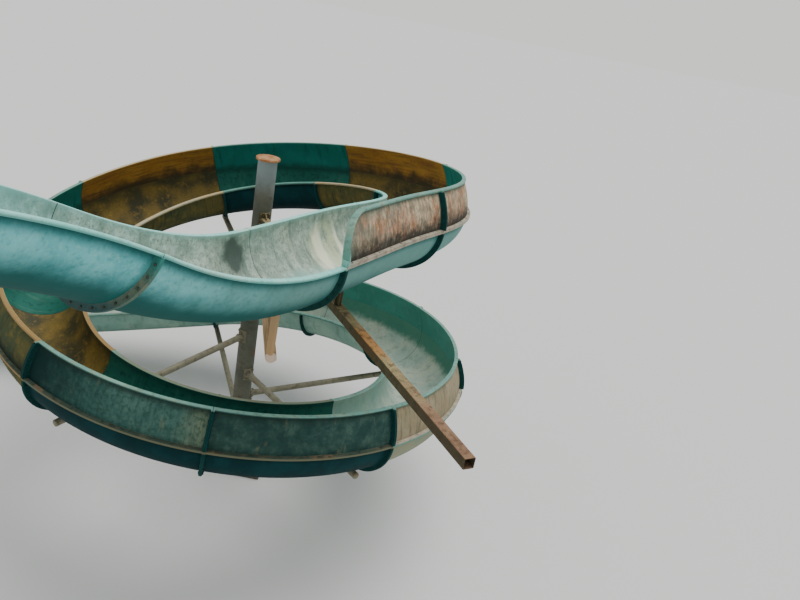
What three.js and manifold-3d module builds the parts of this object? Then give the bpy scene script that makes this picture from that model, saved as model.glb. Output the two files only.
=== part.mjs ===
// Spiral water slide tower: an open fibreglass flume wound round a central column.
// Millimetres, +Z up. The origin is on the ground, at the centre of the column's foot.
import * as THREE from 'three';
import { mergeVertices } from 'three/addons/utils/BufferGeometryUtils.js';
import Module from 'manifold-3d';

const wasm = await Module();
wasm.setup();

// Running clearance between pieces that touch
const GAP = 0.3;

// Flume cross-section: an upright U with a turned-out lip on both rims
const FLUME_WIDTH = 1100;
const SHELL_THICKNESS = 14;
const LIP_WIDTH = 42;
const LIP_DEPTH = 26;
const WALL_HEIGHT = 34;
const ARC_DEPTH = 481;
const FLANGE_HEIGHT = 55;
const FLANGE_THICKNESS = 14;
const FLANGE_SHOULDER = 2;
const FLANGE_LIP_OUT = 6;
const TROUGH_FACETS = 9;
const STRAIGHT_SPANS = 3;
const CURVED_SPANS = 4;
const CURVED_FROM_DEGREES = 20;
const OUTER_RADIUS = FLUME_WIDTH / 2 - LIP_WIDTH;
const INNER_RADIUS = OUTER_RADIUS - SHELL_THICKNESS;

// Raised panels bolted to the ledge of the outer rim
const PANEL_HEIGHT = 418;
const PANEL_LEAN = 132;
const PANEL_CURL = 1.8;
const PANEL_THICKNESS = 12;
const PANEL_LIP_WIDTH = 35;
const PANEL_END_LIP_WIDTH = 62;
const PANEL_LIP_DEPTH = 22;
const PANEL_FLANGE = 65;
const PANEL_END_HEIGHT = 60;
const PANEL_CORNER = 385;
const PANEL_CORNER_SHARES = [0.15, 0.45, 1];
const PANEL_FACE_SHARES = [0.36, 0.7];
const PANEL_INNER_ALLOWANCE = 2;
const PANEL_LIP_SLOPE = 1;

// Centreline of the rims: where it starts to bend, and how it turns and falls from there
const RIM_HEIGHT_AT_BEND = 4274;
const BEND_START = { x: 2016, y: -166, heading: 85.7 };
const COURSE_STEP = 10;
// Distance in plan (mm), turn to the left (degrees per metre), fall (mm per metre)
const COURSE = [
  [-7700, 1.2, 162],
  [-4950, -6.0, 521],
  [-3300, 9.5, 36],
  [-1650, -3.9, 92],
  [0, 26.0, 141],
  [2200, 25.3, 186],
  [5500, 24.4, 278],
  [9900, 23.2, 75],
  [15400, 22.0, 116],
  [19900, 21.0, 110],
  [20300, 0, 170],
  [22100, 0, 150],
  [24400, 0, 10],
];

// Joints between the bolted flume sections, as distances along the course
const INLET_JOINTS = [-7140, -5110, -3160, -1100];
const FIRST_BEND_JOINT = 1100;
const BEND_SECTION = 1750;
const BEND_SECTIONS = 11;
const RUN_OUT_SECTION = 2020;
const RUN_OUT_SECTIONS = 2;
const FIRST_PANEL = 2;
const WIDEST_STATION = 19430;
const YELLOW_BENDS = [0, 2, 4];

// Column, arms and feet
const COLUMN_RADIUS = 120;
const COLUMN_SIDES = 24;
const COLUMN_TOP = 4425;
const COLUMN_FLANGE_RADIUS = 230;
const COLUMN_FLANGE_THICKNESS = 28;
const BASE_PLATE_SIZE = 900;
const BASE_PLATE_THICKNESS = 40;
const CAP_RADIUS = 150;
const CAP_THICKNESS = 30;
const ARM_RADIUS = 42;
const ARM_SIDES = 10;
const ARM_SEAT_DROP = 80;
const POLE_SEAT_DROP = 164;
const SEAT_HALF_WIDTH = 80;
const SEAT_HALF_LENGTH = 35;
const BEAM_SEAT = -2150;
const LOG_SEAT = -3290;
const POLE_RISE = 350;
const CLAMP = { length: 205, width: 150, height: 170 };
const BEAM_CLAMP_RISE = 30;
const LOG_CLAMP_DROP = 45;
const BEAM = { width: 100, height: 100, top: 3705, end: 5250, seatHalfWidth: 45 };
const LOG = { radius: 60, sides: 14, height: 3535, end: 3400 };
const LOG_SEAT_HALF_WIDTH = 30;
const LOG_SEAT_HALF_LENGTH = 25;
const POST_RADIUS = 70;
const POST_SIDES = 16;
const FOOT_RADIUS = 190;
const FOOT_THICKNESS = 22;
const CROSSHEAD = {
  width: 130,
  height: 130,
  halfLength: 480,
  postSpacing: 380,
  seatDrop: 110,
  seatHalfLength: 30,
};
const PLINTH = { halfWidth: 330, halfLength: 55 };

const degrees = THREE.MathUtils.degToRad;

// Course of the flume

function courseValues(distance) {
  let row = 1;
  while (row < COURSE.length - 1 && COURSE[row][0] < distance) row += 1;
  const [fromDistance, fromTurn, fromFall] = COURSE[row - 1];
  const [toDistance, toTurn, toFall] = COURSE[row];
  const share = (distance - fromDistance) / (toDistance - fromDistance);
  return {
    turn: degrees(THREE.MathUtils.lerp(fromTurn, toTurn, share)) / 1000,
    fall: THREE.MathUtils.lerp(fromFall, toFall, share) / 1000,
  };
}

// Walks the course in short steps from the start of the bend, in either direction
function walkCourse(direction, length) {
  const place = { x: BEND_START.x, y: BEND_START.y, z: RIM_HEIGHT_AT_BEND };
  let heading = degrees(BEND_START.heading);
  const steps = [{ ...place, heading }];
  const step = direction * COURSE_STEP;
  for (let walked = 0; walked < length; walked += COURSE_STEP) {
    const { turn, fall } = courseValues(direction * walked + step / 2);
    const middle = heading + (turn * step) / 2;
    place.x += Math.cos(middle) * step;
    place.y += Math.sin(middle) * step;
    place.z -= fall * step;
    heading += turn * step;
    steps.push({ ...place, heading });
  }
  return steps;
}

const courseAhead = walkCourse(1, COURSE.at(-1)[0]);
const courseBehind = walkCourse(-1, -COURSE[0][0]);

// Place and directions of the upright frame that every cross-section is drawn in
function frameAt(distance) {
  const steps = distance >= 0 ? courseAhead : courseBehind;
  const position = Math.abs(distance) / COURSE_STEP;
  const index = Math.min(Math.floor(position), steps.length - 2);
  const share = position - index;
  const from = steps[index];
  const to = steps[index + 1];
  const heading = THREE.MathUtils.lerp(from.heading, to.heading, share);
  const { fall } = courseValues(distance);
  const point = new THREE.Vector3(
    THREE.MathUtils.lerp(from.x, to.x, share),
    THREE.MathUtils.lerp(from.y, to.y, share),
    THREE.MathUtils.lerp(from.z, to.z, share),
  );
  const along = new THREE.Vector3(Math.cos(heading), Math.sin(heading), -fall).normalize();
  const outward = new THREE.Vector3(Math.sin(heading), -Math.cos(heading), 0);
  const up = new THREE.Vector3().crossVectors(outward, along);
  return { point, along, outward, up };
}

// A point of a cross-section: across is outward from the centreline, rise is above the rims
function pointAt(distance, across, rise) {
  const { point, outward, up } = frameAt(distance);
  return point.clone().addScaledVector(outward, across).addScaledVector(up, rise);
}

// Closed solids from rows of cross-sections

// Joins outlines of equal length, each counterclockwise when seen from upstream
function loft(rings, outlines) {
  const count = rings[0].length;
  const positions = [];
  for (const ring of rings) {
    for (const point of ring) positions.push(point.x, point.y, point.z);
  }
  const faces = [];
  for (let row = 0; row + 1 < rings.length; row += 1) {
    for (let place = 0; place < count; place += 1) {
      const next = (place + 1) % count;
      const near = row * count + place;
      const nearNext = row * count + next;
      const far = near + count;
      const farNext = nearNext + count;
      // The same diagonal in touching surfaces, whichever way round their outlines run
      if (outlines[row][place].x < outlines[row][next].x) {
        faces.push(near, far, farNext, near, farNext, nearNext);
      } else {
        faces.push(near, far, nearNext, nearNext, far, farNext);
      }
    }
  }
  addCap(faces, outlines[0], 0, false);
  addCap(faces, outlines.at(-1), (rings.length - 1) * count, true);
  const geometry = new THREE.BufferGeometry();
  geometry.setAttribute('position', new THREE.Float32BufferAttribute(positions, 3));
  geometry.setIndex(faces);
  geometry.computeVertexNormals();
  return geometry;
}

function addCap(faces, outline, offset, downstream) {
  for (const [a, b, c] of THREE.ShapeUtils.triangulateShape(outline, [])) {
    const area = THREE.ShapeUtils.area([outline[a], outline[b], outline[c]]);
    const turned = area > 0 === downstream;
    faces.push(offset + a, offset + (turned ? c : b), offset + (turned ? b : c));
  }
}

// Sweeps an outline along the course: outlineAt gives it for each station
function sweep(stations, outlineAt) {
  const outlines = stations.map((station) => {
    const outline = outlineAt(station);
    return THREE.ShapeUtils.isClockWise(outline) ? outline.reverse() : outline;
  });
  const rings = stations.map((station, index) => {
    return outlines[index].map(({ x, y }) => pointAt(station.at, x, y));
  });
  return loft(rings, outlines);
}

function toSolid(geometry) {
  const bare = geometry.clone();
  bare.deleteAttribute('normal');
  bare.deleteAttribute('uv');
  const merged = mergeVertices(bare);
  return new wasm.Manifold(new wasm.Mesh({
    numProp: 3,
    vertProperties: new Float32Array(merged.attributes.position.array),
    triVerts: new Uint32Array(merged.index.array),
  }));
}

function toGeometry(solid) {
  const mesh = solid.getMesh();
  const geometry = new THREE.BufferGeometry();
  geometry.setAttribute('position', new THREE.Float32BufferAttribute(mesh.vertProperties, 3));
  geometry.setIndex(Array.from(mesh.triVerts));
  geometry.computeVertexNormals();
  return geometry;
}

// Outlines

const corner = (across, rise) => new THREE.Vector2(across, rise);

// Half ellipse below the upright walls, grown outward by a given amount
function arcCorners(grown) {
  const corners = [];
  for (let step = 0; step <= TROUGH_FACETS; step += 1) {
    const angle = (-Math.PI * step) / TROUGH_FACETS;
    const across = (OUTER_RADIUS + grown) * Math.cos(angle);
    corners.push(corner(across, (ARC_DEPTH + grown) * Math.sin(angle) - WALL_HEIGHT));
  }
  return corners;
}

function troughOutline(station) {
  const stand = station.flange ? FLANGE_HEIGHT : 0;
  const half = FLUME_WIDTH / 2 + (station.flange ? FLANGE_LIP_OUT : 0);
  const underLip = LIP_DEPTH + (station.flange ? FLANGE_SHOULDER : 0);
  return [
    corner(INNER_RADIUS, 0),
    corner(half, 0),
    corner(half, -LIP_DEPTH),
    corner(OUTER_RADIUS + stand, -underLip),
    ...arcCorners(stand),
    corner(-OUTER_RADIUS - stand, -underLip),
    corner(-half, -LIP_DEPTH),
    corner(-half, 0),
    corner(-INNER_RADIUS, 0),
    ...arcCorners(-SHELL_THICKNESS).reverse(),
  ];
}

const LOWEST_FACET = Math.cos(Math.PI / TROUGH_FACETS / 2);
const FLANGE_BOTTOM = -WALL_HEIGHT - (ARC_DEPTH + FLANGE_HEIGHT) * LOWEST_FACET;
const SHELL_BOTTOM = -WALL_HEIGHT - ARC_DEPTH * LOWEST_FACET;

// How far out the panel's outer face stands at a given rise
function panelFace(rise) {
  return OUTER_RADIUS - PANEL_LEAN * (rise / PANEL_HEIGHT) ** PANEL_CURL;
}

function panelOutline(station) {
  const height = station.height;
  const stand = station.flange ? PANEL_FLANGE : 0;
  const foot = PANEL_THICKNESS + GAP;
  const lipFoot = height - PANEL_LIP_DEPTH;
  const [low, high] = PANEL_FACE_SHARES.map((share) => THREE.MathUtils.lerp(foot, lipFoot, share));
  const lipEdge = panelFace(height) + Math.max(station.lipWidth, stand);
  const inner = PANEL_THICKNESS + PANEL_INNER_ALLOWANCE;
  return [
    corner(INNER_RADIUS, GAP),
    corner(FLUME_WIDTH / 2, GAP),
    corner(FLUME_WIDTH / 2, foot),
    corner(panelFace(foot) + stand, foot + PANEL_LIP_SLOPE),
    corner(panelFace(low) + stand, low),
    corner(panelFace(high) + stand, high),
    corner(panelFace(lipFoot) + stand, lipFoot),
    corner(lipEdge, lipFoot + PANEL_LIP_SLOPE),
    corner(lipEdge, height),
    corner(panelFace(height) - inner, height),
    corner(panelFace(high) - inner, high),
    corner(panelFace(low) - inner, low),
  ];
}

// Stations along one section: its two end flanges, with plain shell between them
function sectionStations(from, to, extra) {
  const start = from + GAP / 2;
  const end = to - GAP / 2;
  const shoulder = FLANGE_THICKNESS + FLANGE_SHOULDER;
  const bend = Math.abs(courseValues((from + to) / 2).turn * (to - from));
  const spans = bend > degrees(CURVED_FROM_DEGREES) ? CURVED_SPANS : STRAIGHT_SPANS;
  const middle = [];
  for (let span = 1; span < spans; span += 1) {
    middle.push(THREE.MathUtils.lerp(start, end, span / spans));
  }
  const plain = [start + shoulder, ...middle, ...extra, end - shoulder].sort((a, b) => a - b);
  return [
    { at: start, flange: true },
    { at: start + FLANGE_THICKNESS, flange: true },
    ...plain.map((at) => ({ at, flange: false })),
    { at: end - FLANGE_THICKNESS, flange: true },
    { at: end, flange: true },
  ];
}

// Height and lip of the panels: at the first and the last free end the panel is rounded down to
// the ledge, and its lip is wider
function panelStations(stations, roundStart, roundEnd) {
  const first = stations[0].at;
  const last = stations.at(-1).at;
  return stations.map((station) => {
    const fromEnd = Math.min(
      roundStart ? (station.at - first) / PANEL_CORNER : 1,
      roundEnd ? (last - station.at) / PANEL_CORNER : 1,
      1,
    );
    const share = Math.sqrt(1 - (1 - fromEnd) ** 2);
    const height = THREE.MathUtils.lerp(PANEL_END_HEIGHT, PANEL_HEIGHT, share);
    const lipWidth = THREE.MathUtils.lerp(PANEL_END_LIP_WIDTH, PANEL_LIP_WIDTH, fromEnd);
    return { ...station, height, lipWidth };
  });
}

// Group and colours

const group = new THREE.Group();

const COLOURS = {
  aqua: { color: 0x5fa8a0, roughness: 0.55, metalness: 0 },
  teal: { color: 0x1f6b60, roughness: 0.5, metalness: 0 },
  yellow: { color: 0xc98a1e, roughness: 0.55, metalness: 0 },
  rustedPanel: { color: 0x9a6f62, roughness: 0.8, metalness: 0 },
  steel: { color: 0x6d6a60, roughness: 0.75, metalness: 0.3 },
  rust: { color: 0xa1562f, roughness: 0.9, metalness: 0.2 },
  timber: { color: 0xb89468, roughness: 0.85, metalness: 0 },
  concrete: { color: 0xa8a49a, roughness: 0.95, metalness: 0 },
};

function addPiece(name, geometry, colour) {
  const mesh = new THREE.Mesh(geometry, new THREE.MeshStandardMaterial(COLOURS[colour]));
  mesh.name = name;
  group.add(mesh);
  return mesh;
}

const pad = (number) => String(number).padStart(2, '0');

// Joints and the colour of each section, from the inlet to the run-out
const joints = [...INLET_JOINTS];
for (let bend = 0; bend <= BEND_SECTIONS; bend += 1) {
  joints.push(FIRST_BEND_JOINT + bend * BEND_SECTION);
}
for (let run = 1; run <= RUN_OUT_SECTIONS; run += 1) {
  joints.push(FIRST_BEND_JOINT + BEND_SECTIONS * BEND_SECTION + run * RUN_OUT_SECTION);
}
const jointAfterBends = INLET_JOINTS.length + BEND_SECTIONS;

function sectionColour(index) {
  if (index < INLET_JOINTS.length) return 'aqua';
  const bend = index - INLET_JOINTS.length;
  return YELLOW_BENDS.includes(bend) ? 'yellow' : 'teal';
}

// Stations that a facet ends at: both sides of the seats between joints, and the widest place
const keptStations = [
  BEAM_SEAT - SEAT_HALF_LENGTH,
  BEAM_SEAT + SEAT_HALF_LENGTH,
  LOG_SEAT - LOG_SEAT_HALF_LENGTH,
  LOG_SEAT + LOG_SEAT_HALF_LENGTH,
  WIDEST_STATION,
];

for (let index = 0; index + 1 < joints.length; index += 1) {
  const starts = index === FIRST_PANEL;
  const ends = index === jointAfterBends - 1;
  const extra = keptStations.filter((at) => at > joints[index] && at < joints[index + 1]);
  for (const share of PANEL_CORNER_SHARES) {
    if (starts) extra.push(joints[index] + share * PANEL_CORNER);
    if (ends) extra.push(joints[index + 1] - share * PANEL_CORNER);
  }
  const stations = sectionStations(joints[index], joints[index + 1], extra);
  const colour = sectionColour(index);
  addPiece(`flume_section_${pad(index + 1)}`, sweep(stations, troughOutline), colour);
  if (index < FIRST_PANEL || index >= jointAfterBends) continue;
  // The panel keeps the trough's own stations, so that its foot follows the faceted ledge
  const panel = sweep(panelStations(stations, starts, ends), panelOutline);
  const panelColour = index < INLET_JOINTS.length ? 'rustedPanel' : colour;
  addPiece(`raised_panel_${pad(index - FIRST_PANEL + 1)}`, panel, panelColour);
}

// Supports

const columnBore = toSolid(new THREE.CylinderGeometry(
  COLUMN_RADIUS + GAP, COLUMN_RADIUS + GAP, 2 * COLUMN_TOP, COLUMN_SIDES,
).rotateX(Math.PI / 2));

// A block between the trough and the arm under it, with its top along the trough's own facet
function seatBlock(station, top, drop, halfWidth, halfLength) {
  const stations = [{ at: station - halfLength }, { at: station + halfLength }];
  return sweep(stations, () => [
    corner(-halfWidth, top - drop),
    corner(halfWidth, top - drop),
    corner(halfWidth, top - GAP),
    corner(-halfWidth, top - GAP),
  ]);
}

// A bar between two points, drawn along +Z and then turned into place
function barBetween(geometry, from, to) {
  const along = new THREE.Vector3().subVectors(to, from);
  const middle = new THREE.Vector3().addVectors(from, to).multiplyScalar(0.5);
  const level = new THREE.Vector3(-along.y, along.x, 0).normalize();
  const upright = new THREE.Vector3().crossVectors(along, level).normalize();
  const basis = new THREE.Matrix4().makeBasis(level, upright, along.normalize());
  return geometry.applyMatrix4(basis.setPosition(middle));
}

// The bar of an arm, its seat and its clamp as one weldment, cut to seat on the column
function weldArm(bar, from, to, seat, clampRise) {
  const clampStart = from.clone().setZ(from.z + clampRise);
  const clampEnd = clampStart.clone().lerp(
    to.clone().setZ(to.z + clampRise), CLAMP.length / from.distanceTo(to),
  );
  const clamp = barBetween(
    new THREE.BoxGeometry(CLAMP.width, CLAMP.height, CLAMP.length), clampStart, clampEnd,
  );
  const parts = toSolid(bar).add(toSolid(clamp)).add(toSolid(seat));
  return toGeometry(parts.subtract(columnBore));
}

// Arms under the joints: a level pipe, or one that drops away from the column
function addPipeArm(name, station, riseAtColumn, seatDrop) {
  const seatPoint = pointAt(station, 0, FLANGE_BOTTOM - seatDrop);
  const from = new THREE.Vector3(0, 0, seatPoint.z + riseAtColumn);
  const reach = new THREE.Vector3().subVectors(seatPoint, from);
  const to = from.clone().addScaledVector(reach, 1 + (2 * SEAT_HALF_WIDTH) / reach.length());
  const length = from.distanceTo(to);
  const pipe = new THREE.CylinderGeometry(ARM_RADIUS, ARM_RADIUS, length, ARM_SIDES);
  const bar = barBetween(pipe.rotateX(Math.PI / 2), from, to);
  const seat = seatBlock(
    station, FLANGE_BOTTOM, seatDrop, SEAT_HALF_WIDTH, SEAT_HALF_LENGTH,
  );
  addPiece(name, weldArm(bar, from, to, seat, 0), 'steel');
}

const ARM_JOINTS = [4, 6, 7, 9, 11, 13, 15];
const POLE_JOINT = 9;
ARM_JOINTS.forEach((joint, index) => {
  const slopes = joint === POLE_JOINT;
  const rise = slopes ? POLE_RISE : 0;
  const drop = slopes ? POLE_SEAT_DROP : ARM_SEAT_DROP;
  addPipeArm(`pipe_arm_${index + 1}`, joints[joint], rise, drop);
});

// Long box beam that runs out past the trough
function addBoxBeam() {
  const seatPoint = pointAt(BEAM_SEAT, 0, SHELL_BOTTOM);
  const level = BEAM.top - BEAM.height / 2;
  const direction = new THREE.Vector3(seatPoint.x, seatPoint.y, 0).normalize();
  const from = new THREE.Vector3(0, 0, level);
  const to = from.clone().addScaledVector(direction, BEAM.end);
  const bar = barBetween(new THREE.BoxGeometry(BEAM.width, BEAM.height, BEAM.end), from, to);
  const drop = seatPoint.z - level;
  const seat = seatBlock(BEAM_SEAT, SHELL_BOTTOM, drop, BEAM.seatHalfWidth, SEAT_HALF_LENGTH);
  addPiece('outrigger_beam', weldArm(bar, from, to, seat, BEAM_CLAMP_RISE), 'rust');
}
addBoxBeam();

// Round timber that carries the trough on a short post, just before the raised panels begin
function addLogArm() {
  const seatPoint = pointAt(LOG_SEAT, 0, SHELL_BOTTOM);
  const direction = new THREE.Vector3(seatPoint.x, seatPoint.y, 0).normalize();
  const from = new THREE.Vector3(0, 0, LOG.height);
  const to = from.clone().addScaledVector(direction, LOG.end);
  const log = new THREE.CylinderGeometry(LOG.radius, LOG.radius, LOG.end, LOG.sides);
  const bar = barBetween(log.rotateX(Math.PI / 2), from, to);
  const drop = seatPoint.z - LOG.height;
  const seat = seatBlock(
    LOG_SEAT, SHELL_BOTTOM, drop, LOG_SEAT_HALF_WIDTH, LOG_SEAT_HALF_LENGTH,
  );
  addPiece('log_arm', weldArm(bar, from, to, seat, -LOG_CLAMP_DROP), 'timber');
}
addLogArm();

// Column, its foot and its cap

function lathe(profile, segments) {
  const points = profile.map(([radius, height]) => new THREE.Vector2(radius, height));
  return new THREE.LatheGeometry(points, segments).rotateX(Math.PI / 2);
}

const columnFoot = BASE_PLATE_THICKNESS + GAP;
addPiece('column', lathe([
  [0, columnFoot],
  [COLUMN_FLANGE_RADIUS, columnFoot],
  [COLUMN_FLANGE_RADIUS, columnFoot + COLUMN_FLANGE_THICKNESS],
  [COLUMN_RADIUS, columnFoot + COLUMN_FLANGE_THICKNESS],
  [COLUMN_RADIUS, COLUMN_TOP],
  [0, COLUMN_TOP],
], COLUMN_SIDES), 'steel');

const basePlate = new THREE.BoxGeometry(BASE_PLATE_SIZE, BASE_PLATE_SIZE, BASE_PLATE_THICKNESS);
addPiece('column_base_plate', basePlate, 'steel').position.z = BASE_PLATE_THICKNESS / 2;

addPiece('column_cap', lathe([
  [0, COLUMN_TOP + GAP],
  [CAP_RADIUS, COLUMN_TOP + GAP],
  [CAP_RADIUS, COLUMN_TOP + GAP + CAP_THICKNESS],
  [0, COLUMN_TOP + GAP + CAP_THICKNESS],
], COLUMN_SIDES), 'rust');

// Trestle under the upper end: a crosshead on two posts

function addInletTrestle() {
  const station = joints[0] + FLANGE_THICKNESS / 2;
  const seatPoint = pointAt(station, 0, FLANGE_BOTTOM - CROSSHEAD.seatDrop);
  const { outward } = frameAt(station);
  const ends = [-1, 1].map((side) => {
    return seatPoint.clone().addScaledVector(outward, side * CROSSHEAD.halfLength);
  });
  const { width, height, halfLength } = CROSSHEAD;
  const beam = barBetween(new THREE.BoxGeometry(width, height, 2 * halfLength), ...ends);
  const { seatDrop, seatHalfLength } = CROSSHEAD;
  const seat = seatBlock(station, FLANGE_BOTTOM, seatDrop, SEAT_HALF_WIDTH, seatHalfLength);
  addPiece('inlet_crosshead', toGeometry(toSolid(beam).add(toSolid(seat))), 'steel');
  const postTop = seatPoint.z - height / 2 - GAP;
  for (const [name, side] of [['inner', -1], ['outer', 1]]) {
    const place = seatPoint.clone().addScaledVector(outward, side * CROSSHEAD.postSpacing);
    const post = addPiece(`inlet_post_${name}`, lathe([
      [0, 0],
      [FOOT_RADIUS, 0],
      [FOOT_RADIUS, FOOT_THICKNESS],
      [POST_RADIUS, FOOT_THICKNESS],
      [POST_RADIUS, postTop],
      [0, postTop],
    ], POST_SIDES), 'steel');
    post.position.set(place.x, place.y, 0);
  }
}
addInletTrestle();

// Concrete plinths under the run-out, from the ground up to the flanges

function addPlinth(name, station) {
  const rings = [];
  const outlines = [];
  const { halfWidth, halfLength } = PLINTH;
  for (const at of [station - halfLength, station + halfLength]) {
    const low = pointAt(at, -SEAT_HALF_WIDTH, FLANGE_BOTTOM - GAP);
    const high = pointAt(at, SEAT_HALF_WIDTH, FLANGE_BOTTOM - GAP);
    const left = pointAt(at, -halfWidth, FLANGE_BOTTOM).setZ(0);
    const right = pointAt(at, halfWidth, FLANGE_BOTTOM).setZ(0);
    rings.push([left, right, high, low]);
    outlines.push([
      corner(-halfWidth, 0),
      corner(halfWidth, 0),
      corner(SEAT_HALF_WIDTH, high.z),
      corner(-SEAT_HALF_WIDTH, low.z),
    ]);
  }
  addPiece(name, loft(rings, outlines), 'concrete');
}
addPlinth('run_out_plinth_upper', joints[jointAfterBends + 1]);
addPlinth('run_out_plinth_lower', joints.at(-1) - FLANGE_THICKNESS);

export default group;
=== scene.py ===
import math
import random
from functools import partial

import bmesh
import bpy
from mathutils import Matrix, Vector, noise


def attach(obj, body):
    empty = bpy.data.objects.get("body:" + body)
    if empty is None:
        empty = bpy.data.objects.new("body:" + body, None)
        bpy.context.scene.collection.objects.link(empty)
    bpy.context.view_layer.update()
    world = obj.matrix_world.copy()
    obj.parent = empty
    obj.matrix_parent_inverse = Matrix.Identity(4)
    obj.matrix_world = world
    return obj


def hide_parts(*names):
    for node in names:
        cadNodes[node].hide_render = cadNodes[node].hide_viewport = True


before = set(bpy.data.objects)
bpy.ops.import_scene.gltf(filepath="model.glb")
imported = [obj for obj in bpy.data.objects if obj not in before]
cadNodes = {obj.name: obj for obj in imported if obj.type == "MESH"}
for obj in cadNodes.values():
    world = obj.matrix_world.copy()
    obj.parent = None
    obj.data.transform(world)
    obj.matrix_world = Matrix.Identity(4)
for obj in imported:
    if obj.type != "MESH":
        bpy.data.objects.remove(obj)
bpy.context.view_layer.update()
random.seed(11)
print("frame loaded with", len(cadNodes), "nodes")

# Camera at the photograph's viewing angle
viewpoint = {
    "place": (1.925, -9.647, 7.095),
    "tilt": 66.55,  # degrees up from looking straight down
    "roll": 10.98,
    "lens": 36.2,
    "clipEnd": 300,
}


def addObject(name, data):
    item = bpy.data.objects.new(name, data)
    bpy.context.scene.collection.objects.link(item)
    return item


def addCamera():
    lens = bpy.data.cameras.new("slideView")
    lens.lens = viewpoint["lens"]
    lens.clip_end = viewpoint["clipEnd"]
    camera = addObject("slideView", lens)
    tilt = Matrix.Rotation(math.radians(viewpoint["tilt"]), 4, "X")
    roll = Matrix.Rotation(math.radians(viewpoint["roll"]), 4, "Z")
    camera.matrix_world = Matrix.Translation(viewpoint["place"]) @ tilt @ roll
    bpy.context.scene.camera = camera


addCamera()

# Course of the flume: distance (m), turn to the left (degrees per metre), fall (m per metre)
course = {
    "rows": [
        (-7.70, 1.2, 0.162),
        (-4.95, -6.0, 0.521),
        (-3.30, 9.5, 0.036),
        (-1.65, -3.9, 0.092),
        (0.0, 26.0, 0.141),
        (2.2, 25.3, 0.186),
        (5.5, 24.4, 0.278),
        (9.9, 23.2, 0.075),
        (15.4, 22.0, 0.116),
        (19.9, 21.0, 0.110),
        (20.3, 0.0, 0.170),
        (22.1, 0.0, 0.150),
        (24.4, 0.0, 0.010),
    ],
    "start": (2.016, -0.166, 4.274),
    "heading": 85.7,
    "step": 0.01,
    "inletJoints": [-7.14, -5.11, -3.16, -1.10],
    "firstBendJoint": 1.10,
    "bendSection": 1.750,
    "bendSections": 11,
    "runOutSection": 2.02,
    "runOutSections": 2,
}


def courseValues(distance):
    rows = course["rows"]
    row = 1
    while row < len(rows) - 1 and rows[row][0] < distance:
        row += 1
    fromDistance, fromTurn, fromFall = rows[row - 1]
    toDistance, toTurn, toFall = rows[row]
    share = (distance - fromDistance) / (toDistance - fromDistance)
    turn = math.radians(fromTurn + (toTurn - fromTurn) * share)
    return turn, fromFall + (toFall - fromFall) * share


def walkCourse(direction, length):
    x, y, z = course["start"]
    heading = math.radians(course["heading"])
    steps = [(x, y, z, heading)]
    step = direction * course["step"]
    for walked in range(round(length / course["step"])):
        turn, fall = courseValues(walked * step + step / 2)
        middle = heading + turn * step / 2
        x += math.cos(middle) * step
        y += math.sin(middle) * step
        z -= fall * step
        heading += turn * step
        steps.append((x, y, z, heading))
    return steps


courseAhead = walkCourse(1, course["rows"][-1][0])
courseBehind = walkCourse(-1, -course["rows"][0][0])


# Place on the course and the directions along, outward and up
def frameAt(distance):
    steps = courseAhead if distance >= 0 else courseBehind
    position = abs(distance) / course["step"]
    index = min(int(position), len(steps) - 2)
    share = position - index
    x, y, z, heading = (a + (b - a) * share for a, b in zip(steps[index], steps[index + 1]))
    along = Vector((math.cos(heading), math.sin(heading), -courseValues(distance)[1])).normalized()
    outward = Vector((math.sin(heading), -math.cos(heading), 0))
    return Vector((x, y, z)), along, outward, outward.cross(along)


def pointAt(distance, across, rise):
    point, along, outward, up = frameAt(distance)
    return point + outward * across + up * rise


joints = list(course["inletJoints"])
for bend in range(course["bendSections"] + 1):
    joints.append(course["firstBendJoint"] + bend * course["bendSection"])
for run in range(course["runOutSections"]):
    joints.append(joints[-1] + course["runOutSection"])
lastBend = len(course["inletJoints"]) + course["bendSections"]
firstPanel = 2

# Shader helpers


def srgb(code):
    values = [int(code[index : index + 2], 16) / 255 for index in (1, 3, 5)]
    linear = [v / 12.92 if v <= 0.04045 else ((v + 0.055) / 1.055) ** 2.4 for v in values]
    return (*linear, 1.0)


def addNode(tree, kind, inputs=None, **settings):
    node = tree.nodes.new("ShaderNode" + kind)
    for key, value in settings.items():
        setattr(node, key, value)
    for key, value in (inputs or {}).items():
        if isinstance(value, bpy.types.NodeSocket):
            tree.links.new(value, node.inputs[key])
        else:
            node.inputs[key].default_value = value
    return node


def calculate(tree, operation, *values, kind="Math"):
    return addNode(tree, kind, dict(enumerate(values)), operation=operation).outputs[0]


def clouds(tree, place, scale, detail, roughness=0.5):
    inputs = {"Vector": place, "Scale": scale, "Detail": detail, "Roughness": roughness}
    return addNode(tree, "TexNoise", inputs).outputs["Fac"]


def softStep(tree, value, low, high):
    inputs = {"Value": value, "From Min": low, "From Max": high}
    step = addNode(tree, "MapRange", inputs, interpolation_type="SMOOTHSTEP")
    return step.outputs[0]


# Cloudy patches of a finish that has faded unevenly
def patchesMask(tree, given):
    cover = clouds(tree, given["Place"], given["Scale"], 6.0, 0.62)
    return softStep(tree, cover, given["Low"], given["High"])


# Run-off streaks: Lay holds the distance along the course and the distance round the section
def streaksMask(tree, given):
    drawn = calculate(tree, "DIVIDE", 1.0, given["Length"])
    stretch = addNode(tree, "CombineXYZ", {"X": given["Per Metre"], "Y": drawn}).outputs[0]
    lay = calculate(tree, "MULTIPLY", given["Lay"], stretch, kind="VectorMath")
    return softStep(tree, clouds(tree, lay, 1.0, 4.0, 0.6), given["Low"], given["High"])


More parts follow.
